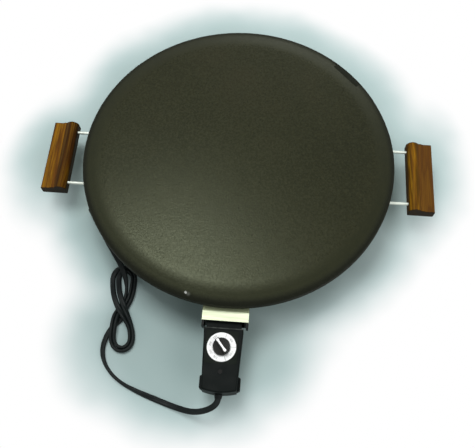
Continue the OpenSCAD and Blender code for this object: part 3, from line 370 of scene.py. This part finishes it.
def control_plastic():
    """The control's black plastic, a little lighter round the dial, with a painted highlight along
    its front edge.
    """
    s = Shade("control_plastic", Specular_IOR_Level=0.06)
    drift = s.spread(s.noise(50.0, 4, 0.6), 0.35, 0.75, 0.0, 0.7)
    base = s.mix(drift, (0.0025, 0.0042, 0.0038), (0.0045, 0.0065, 0.0058))
    rubbed = s.noise(1.0, 3, 0.7, 0.5, s.mapped((300.0, 110.0, 300.0)))
    rubbed = s.spread(rubbed, 0.64, 0.78, 0.0, 0.5)
    base = s.mix(rubbed, base, (0.0090, 0.0110, 0.0100))
    station = s.station()
    depth = s.spread(s.part("Z"), *PANEL_TOP, 1.0, 0.0)
    across = s.math("ABSOLUTE", s.math("SUBTRACT", s.part("X"), DIAL[0] * MM))
    along = s.math("ABSOLUTE", s.math("ADD", station, DIAL[1] * MM))
    inside = s.spread(s.math("MAXIMUM", across, along), *PANEL_HALF, 1.0, 0.0)
    base = s.mix(s.times(depth, inside), base, (0.0045, 0.0072, 0.0050))
    # Painted highlight along the front top edge, broken up by noise
    wear_and_highlight = s.times(s.spread(station, *HIGHLIGHT_STATION, 1.0, 0.0),
                   s.spread(s.part("Z"), *HIGHLIGHT_TOP, 0.0, 1.0))
    wear_and_highlight = s.times(wear_and_highlight, s.spread(s.noise(260.0, 3), 0.30, 0.60, 0.35, 1.0))
    base = s.mix(wear_and_highlight, base, (0.1100, 0.1200, 0.1100))
    s.colour(base)
    s.rough(s.spread(s.noise(80.0, 3), 0.3, 0.7, 0.46, 0.58))
    s.normal(s.bump(s.noise(1300.0, 2, 0.6), 0.14, 0.0003))
    return s.mat


def cord_jacket():
    """Black rubber, unevenly dull, with a little dust."""
    s = Shade("cord_jacket", Specular_IOR_Level=0.10)
    drift = s.spread(s.noise(70.0, 4, 0.6), 0.35, 0.7, 0.0, 1.0)
    base = s.mix(drift, (0.0055, 0.0080, 0.0080), (0.0110, 0.0140, 0.0135))
    dust = s.spread(s.noise(420.0, 3, 0.7), 0.58, 0.75, 0.0, 0.4)
    s.colour(s.mix(dust, base, (0.0350, 0.0385, 0.0380)))
    s.rough(s.spread(s.noise(120.0, 3), 0.3, 0.7, 0.40, 0.54))
    s.normal(s.bump(s.noise(900.0, 2, 0.6), 0.12, 0.0003))
    return s.mat


def pilot_lens():
    """The unlit pilot lens: dark, with moulded rings."""
    s = Shade("amber_lens", Transmission_Weight=0.05, IOR=1.5, Specular_IOR_Level=0.06)
    haze = s.spread(s.noise(500.0, 3), 0.35, 0.7, 0.0, 1.0)
    s.colour(s.mix(haze, (0.0042, 0.0046, 0.0042), (0.0075, 0.0075, 0.0068)))
    s.rough(s.spread(s.noise(300.0, 2), 0.3, 0.7, 0.40, 0.52))
    rings = s.add("ShaderNodeTexWave")
    rings.wave_type = "RINGS"
    s.feed(rings, {"Vector": s.mapped((1, 1, 1), shift=(0.001, 0.2255, 0)), "Scale": 160.0})
    s.normal(s.bump(rings.outputs["Fac"], 0.25, 0.0003))
    return s.mat


def dial_ink():
    """Grey print, worn in places."""
    s = Shade("dial_ink", Specular_IOR_Level=0.2)
    wear_and_highlight = s.spread(s.noise(1800.0, 3, 0.6), 0.40, 0.65, 0.0, 1.0)
    s.colour(s.mix(wear_and_highlight, (0.24, 0.25, 0.24), (0.50, 0.51, 0.50)))
    s.rough(s.spread(s.noise(900.0, 2), 0.3, 0.7, 0.45, 0.60))
    return s.mat


MATERIALS = {
    "nonstick_plate": nonstick(),
    "element_steel": drawn_metal("oxidised_sheath", (0.20, 0.19, 0.18), (0.06, 0.055, 0.05), 0.42,
                                 (300, 300, 300)),
    "bare_steel": drawn_metal("plated_steel", (0.54, 0.58, 0.52), (0.40, 0.44, 0.38), 0.44,
                              (16, 900, 900)),
    "bare_aluminium": drawn_metal("sheet_aluminium", (0.72, 0.72, 0.71), (0.52, 0.52, 0.50), 0.34,
                                  (30, 500, 500)),
    "bright_guard": drawn_metal("bright_guard", (0.60, 0.645, 0.49), (0.50, 0.54, 0.38), 0.58,
                                (22, 700, 700), rim_shadow_band=GUARD_RIM_SHADOW),
    "black_phenolic": moulded("black_phenolic", (0.0045, 0.0055, 0.0050), (0.0085, 0.0095, 0.0085),
                              0.42, Specular_IOR_Level=0.08),
    "ceramic_white": moulded("ceramic", (0.66, 0.62, 0.52), (0.74, 0.71, 0.63), 0.55),
    "dial_white": moulded("dial_enamel", (0.92, 0.93, 0.92), (0.96, 0.97, 0.96), 0.34,
                          Specular_IOR_Level=0.4),
    "walnut": walnut(),
    "brass": drawn_metal("brass", (0.66, 0.46, 0.17), (0.40, 0.25, 0.08), 0.28, (60, 60, 600)),
    "pilot_amber": pilot_lens(),
    "cord_rubber": cord_jacket(),
}
CONTROL = control_plastic()
KNOB = moulded("knob_plastic", (0.0080, 0.0090, 0.0068), (0.0150, 0.0158, 0.0125), 0.42,
               Specular_IOR_Level=0.12)
# Nodes whose finished copy has a material of its own instead of its slot's
OWN_MATERIAL = {
    "control_upper_shell": CONTROL, "control_lower_shell": CONTROL, "control_knob": KNOB,
}
for name in sorted(nodes):
    for one in nodes[name].material_slots:
        slot_name = one.material.name.split(".")[0] if one.material else ""
        if slot_name in MATERIALS:
            one.material = MATERIALS[slot_name]


def finished(obj, body, material, smooth_angle=35.0):
    """Links a new mesh object, smooths it, and hands it to its body with its material."""
    obj.data.materials.clear()
    obj.data.materials.append(material)
    scene.collection.objects.link(obj)
    obj.data.shade_smooth()
    obj.data.set_sharp_from_angle(angle=math.radians(smooth_angle))
    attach(obj, body)
    return obj


# ---------- cord ----------

CORD_W = 7.2
CORD_T = 4.2
# How far each core's middle lies from the cord's
LOBE = (CORD_W - CORD_T) / 2
# How far round each core's outline runs, either way, and half the web's thickness in core radii
LOBE_ARC = 118.0
WEB = 0.84
# The spacing of the sections along it, and its least gap to the floor
CORD_STEP = 1.6
FLOOR_GAP = 0.1

# x, y, z and the roll in degrees, from flat to on edge. The first three points run through the
# strain relief to its mouth.
LEAD = [
    (-1.6, -299.5, 42.0, 0), (-1.6, -302.3, 42.0, 0), (-1.6, -305.0, 42.0, 0),
    (-1.6, -307.8, 41.9, 0), (-4.0, -311.5, 41.2, 0), (-10.0, -315.6, 37.5, 0),
    (-19.0, -318.2, 30.0, 0), (-29.0, -318.8, 20.5, 0), (-39.0, -317.4, 12.0, 0),
    (-50.0, -314.6, 6.0, 0), (-62.0, -311.2, 3.2, 0), (-74.0, -307.5, 2.4, 0),
    (-88.0, -303.1, 2.6, 25), (-105.0, -297.4, 3.4, 62), (-122.0, -290.2, 3.7, 85),
    (-137.0, -280.2, 3.8, 90), (-148.0, -267.5, 3.7, 72), (-153.4, -255.0, 3.3, 45),
    (-154.4, -244.0, 3.0, 28), (-152.8, -235.0, 2.8, 22), (-150.2, -227.0, 2.5, 10),
    (-146.4, -219.8, 2.2, 0), (-140.9, -213.4, 2.2, 0), (-135.6, -206.8, 2.8, 25),
    (-132.8, -199.6, 3.5, 70),
]
# The middle of the figure-eight, one turn, from its crossing up to the right
HANK = [
    (-135.7, -197.8), (-132.8, -191.8), (-130.2, -185.2), (-128.2, -178.2), (-127.4, -170.1),
    (-127.4, -161.5), (-127.7, -153.4), (-130.9, -146.0), (-137.3, -141.8), (-144.6, -142.0),
    (-150.3, -146.3), (-152.0, -153.0), (-151.2, -160.2), (-149.2, -168.3), (-146.7, -176.2),
    (-143.1, -184.4), (-139.0, -192.2), (-134.7, -199.1), (-130.4, -205.8), (-126.3, -212.6),
    (-122.6, -220.0), (-120.2, -228.8), (-119.7, -236.6), (-122.4, -244.0), (-129.0, -248.0),
    (-136.9, -246.7), (-142.2, -240.6), (-144.1, -232.1), (-144.2, -223.2), (-143.5, -215.0),
    (-141.5, -207.9), (-138.7, -202.6),
]
# Along a turn: how far a strand lies to the right of the middle, its height, and its roll
HANK_OFFSET = [(0, 2.2), (28.6, 2.2), (31.6, -2.2), (60.4, -2.2), (63.4, -6.6), (66, -6.6)]
HANK_HEIGHT = [
    (0.6, 3.7), (7, 3.7), (9, 3.3), (10.5, 2.3), (11.6, 2.4), (12.6, 4.0), (13.6, 7.2), (14.4, 9.6),
    (15.4, 10.6), (17.2, 10.9), (18.0, 10.2), (18.8, 8.6), (19.6, 6.4), (20.6, 4.6), (21.6, 3.7),
    (25.2, 3.7), (26.2, 5.0), (27.0, 6.8), (27.8, 8.0), (29.4, 8.0), (30.2, 6.8), (31.0, 5.0),
    (31.7, 3.9), (32.4, 3.7),
]
HANK_ROLL = [(0, 90), (8.6, 90), (10.6, 0), (15.8, 0), (18.0, 55), (19.6, 90), (32.4, 90)]
# How much further apart the strands lie where they are flat
FLAT_SPREAD = 1.77
# The last strand, from the hank over its crossing to the plug
TAIL = [
    (-135.9, -183.0, 3.7, 90), (-134.9, -175.6, 3.7, 90), (-135.7, -166.0, 4.4, 80),
    (-137.7, -156.6, 6.6, 45), (-140.6, -148.4, 9.2, 10), (-144.0, -141.8, 9.9, 0),
    (-147.4, -136.6, 8.0, 0), (-151.6, -130.4, 5.4, 0), (-156.4, -124.0, 4.8, 0),
    (-161.0, -117.0, 5.4, 0), (-166.0, -110.4, 7.2, 0), (-170.44, -104.42, 8.3, 0),
    (-171.66, -101.68, 8.3, 0),
]


def read_off(u, table):
    """A table's value at u."""
    return float(np.interp(u, [t[0] for t in table], [t[1] for t in table]))


def cord_controls():
    """The cord's points and rolls: the lead, two turns of the hank and the tail."""
    middle = np.array(HANK)
    turn = len(HANK)
    heading = np.roll(middle, -1, 0) - np.roll(middle, 1, 0)
    heading /= np.linalg.norm(heading, axis=1)[:, None]
    right = np.c_[heading[:, 1], -heading[:, 0]]
    points = list(LEAD)
    for u in range(1, 2 * turn + 2):
        i = u % turn
        v = i or turn
        roll = read_off(v, HANK_ROLL)
        offset = read_off(u, HANK_OFFSET) * (1 + (FLAT_SPREAD - 1) * (1 - roll / 90))
        x, y = middle[i] + right[i] * offset
        points.append((x, y, read_off(v, HANK_HEIGHT), roll))
    return np.array(points + TAIL, float)


def smooth_line(controls, step, span_steps=12, passes=8):
    """A centripetal curve through the points, even and eased; columns past z ride along."""
    n = len(controls)
    fine = []
    for i in range(n - 1):
        b, c = controls[i], controls[i + 1]
        a = controls[i - 1] if i else 2 * b - c
        d = controls[i + 2] if i + 2 < n else 2 * c - b
        knots = [0.0]
        for p, q in ((a, b), (b, c), (c, d)):
            knots.append(knots[-1] + math.sqrt(np.linalg.norm(q[:3] - p[:3])))
        t0, t1, t2, t3 = knots
        for t in np.linspace(t1, t2, span_steps, endpoint=False):
            ab = ((t1 - t) * a + (t - t0) * b) / (t1 - t0)
            bc = ((t2 - t) * b + (t - t1) * c) / (t2 - t1)
            cd = ((t3 - t) * c + (t - t2) * d) / (t3 - t2)
            abc = ((t2 - t) * ab + (t - t0) * bc) / (t2 - t0)
            bcd = ((t3 - t) * bc + (t - t1) * cd) / (t3 - t1)
            fine.append(((t2 - t) * abc + (t - t1) * bcd) / (t2 - t1))
    fine = np.array(fine + [controls[-1]])
    run = np.r_[0, np.cumsum(np.linalg.norm(np.diff(fine[:, :3], axis=0), axis=1))]
    even = np.linspace(0, run[-1], int(run[-1] / step) + 1)
    line = np.stack([np.interp(even, run, fine[:, k]) for k in range(fine.shape[1])], 1)
    for _ in range(passes):
        line[1:-1] = line[:-2] / 4 + line[1:-1] / 2 + line[2:] / 4
    return line


def cord_section(steps=9):
    """Two round lobes and a shallow web between them, as (across, up) in millimetres."""
    r = CORD_T / 2
    reach = math.radians(LOBE_ARC)
    lobe = [(LOBE + r * math.cos(a), r * math.sin(a)) for a in np.linspace(-reach, reach, steps)]
    half = lobe + [(0.0, r * WEB)]
    return half + [(-x, -y) for x, y in half]


def skinned(rows, count):
    """The quads between each ring of count points and the next, and the two ends' faces."""
    quads = []
    for i in range(rows - 1):
        for k in range(count):
            j = (k + 1) % count
            quads.append((i * count + k, i * count + j, (i + 1) * count + j, (i + 1) * count + k))
    start = tuple(range(count))[::-1]
    end = tuple(range((rows - 1) * count, rows * count))
    return quads, start, end


def new_object(name, verts, faces):
    """An object of its own mesh, not yet in the scene."""
    mesh = bpy.data.meshes.new(name)
    mesh.from_pydata(verts, [], faces)
    mesh.update()
    return bpy.data.objects.new(name, mesh)


def tube(name, line, section):
    """Sweeps a section along a line whose fourth column is its roll."""
    places = line[:, :3]
    ahead = np.gradient(places, axis=0)
    ahead /= np.linalg.norm(ahead, axis=1)[:, None]
    side = np.cross(ahead, [0, 0, 1.0])
    side /= np.linalg.norm(side, axis=1)[:, None]
    up = np.cross(side, ahead)
    roll = np.radians(line[:, 3])[:, None]
    across = side * np.cos(roll) + up * np.sin(roll)
    over = up * np.cos(roll) - side * np.sin(roll)
    verts = [at(*(p + a * x + o * y)) for p, a, o in zip(places, across, over) for x, y in section]
    quads, start, end = skinned(len(places), len(section))
    return new_object(name, verts, quads + [start, end])


cord_line = smooth_line(cord_controls(), CORD_STEP)
lowest = CORD_T / 2 + FLOOR_GAP + LOBE * np.abs(np.sin(np.radians(cord_line[:, 3])))
cord_line[:, 2] = np.maximum(cord_line[:, 2], lowest)
cord = finished(tube("mains_cord", cord_line, cord_section()), "control",
                MATERIALS["cord_rubber"], smooth_angle=60.0)
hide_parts("cord_lead", "cord_hank", "cord_tail")


# ---------- CAD pieces with finished edges ----------

# Edges sharper than this, in degrees, are rounded
HARD_ANGLE = 30.0
# Faces closer to one plane than this, in degrees, are joined first; the plate's fall is shallow
COPLANAR = 0.6
PLATE_COPLANAR = 0.05
SLOTS = {part["node"]: part["material_slot"] for part in frame["record"]["subparts"]}
# How far each finished node's edges are rounded, in millimetres
EDGES = {
    "left_handle_grip": 1.1, "right_handle_grip": 1.1, "guard_cover": 0.4, "terminal_shroud": 0.5,
    "control_upper_shell": 0.6, "control_lower_shell": 0.6, "control_knob": 0.25, "dial_ring": 0.2,
    "foot_front_left": 1.0, "foot_front_right": 1.0, "foot_rear_left": 1.0, "foot_rear_right": 1.0,
    "plug_body": 0.5, "strain_relief": 0.4,
}


def refined(node, width, change=None, coplanar=COPLANAR):
    """A copy of a node's own mesh with its hard edges rounded, which stands for the node."""
    bm = bmesh.new()
    bm.from_mesh(nodes[node].data)
    bmesh.ops.remove_doubles(bm, verts=bm.verts, dist=1e-6)
    if change:
        change(bm)
    bmesh.ops.dissolve_limit(bm, angle_limit=math.radians(coplanar), verts=bm.verts, edges=bm.edges)
    if width:
        hard = [e for e in bm.edges
                if len(e.link_faces) == 2 and e.calc_face_angle(0) > math.radians(HARD_ANGLE)]
        bmesh.ops.bevel(bm, geom=hard, offset=width * MM, offset_type="OFFSET", segments=2,
                        profile=0.5, affect="EDGES", clamp_overlap=True)
    mesh = bpy.data.meshes.new(node + "_finished")
    bm.to_mesh(mesh)
    bm.free()
    piece = bpy.data.objects.new(mesh.name, mesh)
    slot_name = SLOTS[node]
    material = OWN_MATERIAL.get(node, MATERIALS[slot_name])
    finished(piece, nodes[node]["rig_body"], material)
    even = piece.modifiers.new("even_normals", "WEIGHTED_NORMAL")
    even.keep_sharp = True
    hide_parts(node)
    return piece


# The shroud's cheeks: what lies further out than the first is moved back by the second, and kept
# above the third
CHEEK_FROM = 225.0
CHEEK_BACK = 2.0
CHEEK_LOW = 50.0


def slope_cheeks(bm):
    """The shroud's two cheeks rise towards the control, so their ends are shallow."""
    for v in bm.verts:
        if v.co.y < (PLATE_Y - CHEEK_FROM) * MM:
            v.co.y += CHEEK_BACK * MM
            v.co.z = max(v.co.z, CHEEK_LOW * MM)


CHANGES = {"terminal_shroud": slope_cheeks}
finished_nodes = {
    node: refined(node, width, change=CHANGES.get(node)) for node, width in EDGES.items()
}

# The plate's cooking surface, the radius where the falling rim starts, and the rim's fall
PLATE_TOP = 84.0
FLAT_R = 182.0
RIM_SLOPE = 3.0 / 15.2
# The crease is cut CREASE_W to either side, and that band is stretched inwards to SOFT_W in all
CREASE_W = 7.4
SOFT_W = 22.2
# Edges on the crease that turn less than this, in degrees, aren't part of it
CREASE_ANGLE = 3.0


def soften_crease(bm):
    """Eases the flat into the falling rim, over SOFT_W inwards from the bevel's outer edge."""
    bmesh.ops.dissolve_limit(
        bm, angle_limit=math.radians(PLATE_COPLANAR), verts=bm.verts, edges=bm.edges)
    crease = []
    for edge in bm.edges:
        a, b = (v.co - at(0, 0, PLATE_TOP) for v in edge.verts)
        on_ring = all(
            abs(v.z) < 1e-4 and abs(v.to_2d().length - FLAT_R * MM) < 1e-3 for v in (a, b))
        if on_ring and edge.calc_face_angle(0) > math.radians(CREASE_ANGLE):
            crease.append(edge)
    # One edge per corner runs down the rim, so that the bevel's corners stay clean
    spare = set()
    for v in {v for edge in crease for v in edge.verts}:
        down = [e for e in v.link_edges if e not in crease]
        out = (v.co - at(0, 0, PLATE_TOP)).to_2d().normalized()
        down.sort(key=lambda e: -abs((e.other_vert(v).co - v.co).to_2d().normalized().dot(out)))
        spare.update(down[1:])
    bm.edges.index_update()
    bmesh.ops.dissolve_edges(bm, edges=sorted(spare, key=lambda e: e.index), use_verts=False)
    bmesh.ops.bevel(bm, geom=crease, offset=CREASE_W * MM, offset_type="OFFSET", segments=12,
                    profile=0.5, affect="EDGES", clamp_overlap=False)
    outer = FLAT_R + CREASE_W
    for v in bm.verts:
        place = (v.co - at(0, 0, PLATE_TOP)) / MM
        radius = place.to_2d().length
        if -RIM_SLOPE * CREASE_W < place.z < 0.01 and abs(radius - FLAT_R) < CREASE_W + 0.1:
            share = (outer - radius) / (2 * CREASE_W)
            new = place.to_2d() * (outer - share * SOFT_W) / radius
            v.co = at(new.x, new.y, PLATE_TOP - RIM_SLOPE * CREASE_W * max(0.0, 1 - share) ** 3)


refined("griddle_plate", 0.0, change=soften_crease, coplanar=PLATE_COPLANAR)


# ---------- dial ----------

# The heights of the dial ring's and the knob's tops, as in part.scad
DIAL_TOP = 60.6
KNOB_TOP = 70.9
# The pointer's direction at OFF, in degrees clockwise from the plate
OFF_ANGLE = 141.0
POINTER_L = 16.6
POINTER_W = 2.3
# The cap over it, and its top rim: length, half width at the ends and at the waist
CAP = (POINTER_L + 1.8, 1.7, 1.1)
CAP_RIM = (POINTER_L + 1.5, 1.55, 0.95)
# Heights above the knob's top: the tongue's foot and head, the cap's two edges and its rim
CAP_HEIGHTS = (-0.55, 0.02, 0.03, 0.22, 0.36)
# Where the ends start to widen, as a share of the straight side
WAIST_END = 0.62


def lobed_outline(length, end_r, waist, arc_steps=7, side_steps=9):
    """A bar's outline with round ends and a narrower waist, anticlockwise."""
    straight = length / 2 - end_r
    points = []
    for way in (1, -1):
        for y in np.linspace(-straight, straight, side_steps)[1:-1]:
            blend = min(1.0, max(0.0, (abs(y) / straight - WAIST_END) / (1 - WAIST_END)))
            blend = blend * blend * (3 - 2 * blend)
            points.append((way * (waist + (end_r - waist) * blend), way * y))
        for a in np.linspace(0, math.pi, arc_steps):
            points.append((way * end_r * math.cos(a), way * (straight + end_r * math.sin(a))))
    return points


def stacked(name, rings):
    """Joins outlines of equal count, each (points, z) about the dial's axis in the OFF position."""
    turn = math.radians(-OFF_ANGLE)
    c, t = math.cos(turn), math.sin(turn)
    verts = []
    for points, z in rings:
        for x, y in points:
            verts.append(at(DIAL[0] + x * c - y * t, DIAL[1] + x * t + y * c, z))
    quads, start, end = skinned(len(rings), len(rings[0][0]))
    return new_object(name, verts, [start] + quads + [end])


def make_pointer():
    """The pointer: a tongue in the knob's slot under a slightly wider cap with round ends."""
    tongue = lobed_outline(POINTER_L, POINTER_W / 2, POINTER_W / 2)
    cap = lobed_outline(*CAP)
    outlines = (tongue, tongue, cap, cap, lobed_outline(*CAP_RIM))
    pointer = stacked("knob_pointer_cap", [
        (outline, KNOB_TOP + rise) for outline, rise in zip(outlines, CAP_HEIGHTS)])
    finished(pointer, "knob", MATERIALS["dial_white"])
    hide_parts("knob_pointer")


# How high the print stands, and how far above the ring it starts
TICK_T = 0.03
TICK_GAP = 0.01
# Ticks: degrees clockwise from the plate, where each starts and ends along the radius, its width
TICKS = [(18.0, 11.4, 17.0, 0.34), (87.5, 11.4, 17.0, 0.40), (159.0, 11.4, 17.0, 0.55)] + [
    (a, 16.1, 17.0, 0.28) for a in (193.0, 220.5, 248.0, 275.5, 303.0, 330.5, 358.0, 45.5, 73.0)]
WORDS = [
    ("OFF", 121.0), ("200", 206.0), ("250", 241.0), ("300", 282.0), ("350", 322.0), ("400", 52.0),
]
# The font's size, 1.38 times its capitals' height, and the radius of the words' foot
WORD_SIZE = 2.5 * 1.38
WORD_R = 12.7


def make_dial_marks():
    """Ticks and plain numbers, printed on the ring as one thin raised mesh."""
    bm = bmesh.new()
    low = DIAL_TOP + TICK_GAP
    for angle, near, far, width in TICKS:
        a = math.radians(90 - angle)
        c, t = math.cos(a), math.sin(a)
        for v in bmesh.ops.create_cube(bm, size=1.0)["verts"]:
            r = near if v.co.x < 0 else far
            w = v.co.y * width
            z = low if v.co.z < 0 else low + TICK_T
            v.co = at(DIAL[0] + c * r - t * w, DIAL[1] + t * r + c * w, z)
    for word, angle in WORDS:
        data = bpy.data.curves.new("word", "FONT")
        data.body = word
        data.align_x = "CENTER"
        data.size = WORD_SIZE
        data.extrude = TICK_T / 2
        data.resolution_u = 3
        text = bpy.data.objects.new("word", data)
        mesh = bpy.data.meshes.new_from_object(text)
        a = math.radians(-angle)
        place = at(DIAL[0] - WORD_R * math.sin(a), DIAL[1] + WORD_R * math.cos(a), low + TICK_T / 2)
        mesh.transform(Matrix.Translation(place) @ Matrix.Rotation(a, 4, "Z") @ Matrix.Scale(MM, 4))
        bm.from_mesh(mesh)
        bpy.data.objects.remove(text)
        bpy.data.meshes.remove(mesh)
        bpy.data.curves.remove(data)
    bmesh.ops.remove_doubles(bm, verts=bm.verts, dist=1e-7)
    mesh = bpy.data.meshes.new("dial_marks")
    bm.to_mesh(mesh)
    bm.free()
    marks = bpy.data.objects.new("dial_marks", mesh)
    finished(marks, "control", dial_ink())


make_pointer()
make_dial_marks()


# ---------- stage and light ----------

# The world's light near the horizon and overhead, and the heights between which it passes over
HORIZON = (0.12, (0.48, 0.51, 0.48))
OVERHEAD = (0.62, (0.24, 0.25, 0.25))
# Ellipses on the floor, each a centre and half sizes in millimetres about the plate: where the
# cloth under the object shows, a painted shadow at the front left under the hank, and painted
# shadows in the gaps by the grips
FLOOR_BLOBS = [(-4, 34, 274, 274), (245, 40, 65, 95), (-255, 20, 70, 95), (-48, -230, 156, 112)]
FLOOR_PAINTED_SHADOW = (-105, -150, 150, 110)
FLOOR_SHADES = [(222, -4, 20, 52), (-226, 0, 20, 50)]
# Where each fades, as metres outside its ellipse, and the strength of the painted shadows under the
# hank and in the gaps
FLOOR_FADE = (-0.055, 0.030)
PAINTED_SHADOW_FADE = (-0.10, 0.08, 0.36)
SHADE_FADE = (-0.012, 0.010, 0.55)
# How widely the ellipses of FLOOR_BLOBS run into one another, in metres
BLOB_JOIN = 0.03
# Each lamp's place, size and watts; all point at LAMP_AIM
LAMPS = {
    "key": ((-0.29, 0.26, 1.60), (0.64, 0.64), 16.5),
    "back": ((0.38, 1.75, 0.86), (1.2, 0.9), 11.5),
    "fill": ((1.00, -0.80, 1.10), (1.0, 1.0), 7.0),
}
LAMP_AIM = Vector((0.0, 0.0, 0.05))


def blob(s, x, y, half_x, half_y):
    """Roughly the distance in metres outside an ellipse, negative inside it."""
    across = s.math("DIVIDE", s.math("SUBTRACT", s.part("X"), x * MM), half_x * MM)
    along = s.math("DIVIDE", s.math("SUBTRACT", s.part("Y"), (y + PLATE_Y) * MM), half_y * MM)
    squares = s.math("ADD", s.times(across, across), s.times(along, along))
    outside = s.math("SUBTRACT", s.math("SQRT", squares), 1.0)
    return s.times(outside, min(half_x, half_y) * MM)


def make_floor():
    """The cloth near the object, which passes over to white where the floor is seen."""
    bm = bmesh.new()
    bmesh.ops.create_grid(bm, x_segments=1, y_segments=1, size=12.0)
    mesh = bpy.data.meshes.new("floor")
    bm.to_mesh(mesh)
    bm.free()
    floor = bpy.data.objects.new("floor", mesh)
    scene.collection.objects.link(floor)
    s = Shade("floor", Roughness=0.9, Specular_IOR_Level=0.1)
    mottle = s.noise(7.0, 3, 0.5)
    cloth = s.ramp(mottle, [(0.3, (0.405, 0.525, 0.515)), (0.7, (0.455, 0.560, 0.550))])
    # Painted shadow: the cloth is darker at the front left, under the hank
    stain_and_shade = s.spread(blob(s, *FLOOR_PAINTED_SHADOW), *PAINTED_SHADOW_FADE, 0.0)
    cloth = s.mix(stain_and_shade, cloth, (0.18, 0.27, 0.265))
    # Painted shadows in the gaps between the plate and the grips
    for shape in FLOOR_SHADES:
        cloth = s.mix(s.spread(blob(s, *shape), *SHADE_FADE, 0.0), cloth, (0.10, 0.14, 0.125))
    s.colour(cloth)
    reach = blob(s, *FLOOR_BLOBS[0])
    for shape in FLOOR_BLOBS[1:]:
        reach = s.math("SMOOTH_MIN", reach, blob(s, *shape))
        reach.node.inputs[2].default_value = BLOB_JOIN
    reach = s.math("ADD", reach, s.times(s.math("SUBTRACT", s.noise(9.0, 2), 0.5), 0.04))
    paleness = s.spread(reach, *FLOOR_FADE, 0.0, 1.0)
    paleness.node.interpolation_type = "SMOOTHSTEP"
    path = s.add("ShaderNodeLightPath")
    seen = s.math("ADD", path.outputs["Is Camera Ray"], path.outputs["Is Glossy Ray"], clamp=True)
    seen = s.math("ADD", seen, path.outputs["Is Transmission Ray"], clamp=True)
    glow = s.feed(s.add("ShaderNodeEmission"), {"Strength": 1.0})
    pale = s.ramp(paleness, [(0.25, (0.66, 0.80, 0.80)), (1.0, (1, 1, 1))])
    s.link(pale, glow.inputs["Color"])
    blend = s.feed(s.add("ShaderNodeMixShader"), {0: s.times(paleness, seen)})
    s.link(s.shader.outputs[0], blend.inputs[1])
    s.link(glow.outputs[0], blend.inputs[2])
    s.link(blend.outputs[0], s.tree.nodes["Material Output"].inputs["Surface"])
    mesh.materials.append(s.mat)


def make_world():
    """A studio that lights softly, least from overhead, and is white where it is seen."""
    world = bpy.data.worlds.new("world")
    scene.world = world
    world.use_nodes = True
    tree = world.node_tree
    back = tree.nodes["Background"]
    place = tree.nodes.new("ShaderNodeTexCoord")
    split = tree.nodes.new("ShaderNodeSeparateXYZ")
    tree.links.new(place.outputs["Generated"], split.inputs[0])
    ramp = tree.nodes.new("ShaderNodeValToRGB")
    for mark, (height, tone) in zip(ramp.color_ramp.elements, (HORIZON, OVERHEAD)):
        mark.position = height
        mark.color = (*tone, 1)
    tree.links.new(split.outputs["Z"], ramp.inputs["Fac"])
    path = tree.nodes.new("ShaderNodeLightPath")
    seen = path.outputs["Is Camera Ray"]
    for ray in ("Is Glossy Ray", "Is Transmission Ray"):
        either = tree.nodes.new("ShaderNodeMath")
        either.operation = "ADD"
        either.use_clamp = True
        tree.links.new(seen, either.inputs[0])
        tree.links.new(path.outputs[ray], either.inputs[1])
        seen = either.outputs[0]
    mix = tree.nodes.new("ShaderNodeMix")
    mix.data_type = "RGBA"
    mix.inputs[7].default_value = (1, 1, 1, 1)
    tree.links.new(seen, mix.inputs[0])
    tree.links.new(ramp.outputs["Color"], mix.inputs[6])
    tree.links.new(mix.outputs[2], back.inputs["Color"])
    back.inputs["Strength"].default_value = 1.0


def area_light(name, place, size, watts):
    data = bpy.data.lights.new(name, "AREA")
    data.shape = "RECTANGLE"
    data.size, data.size_y = size
    data.energy = watts
    lamp = bpy.data.objects.new(name, data)
    scene.collection.objects.link(lamp)
    lamp.location = place
    aim = LAMP_AIM - Vector(place)
    lamp.rotation_euler = aim.to_track_quat("-Z", "Y").to_euler()


make_floor()
make_world()
for name, setting in LAMPS.items():
    area_light(name, *setting)
scene.view_settings.view_transform = "Standard"
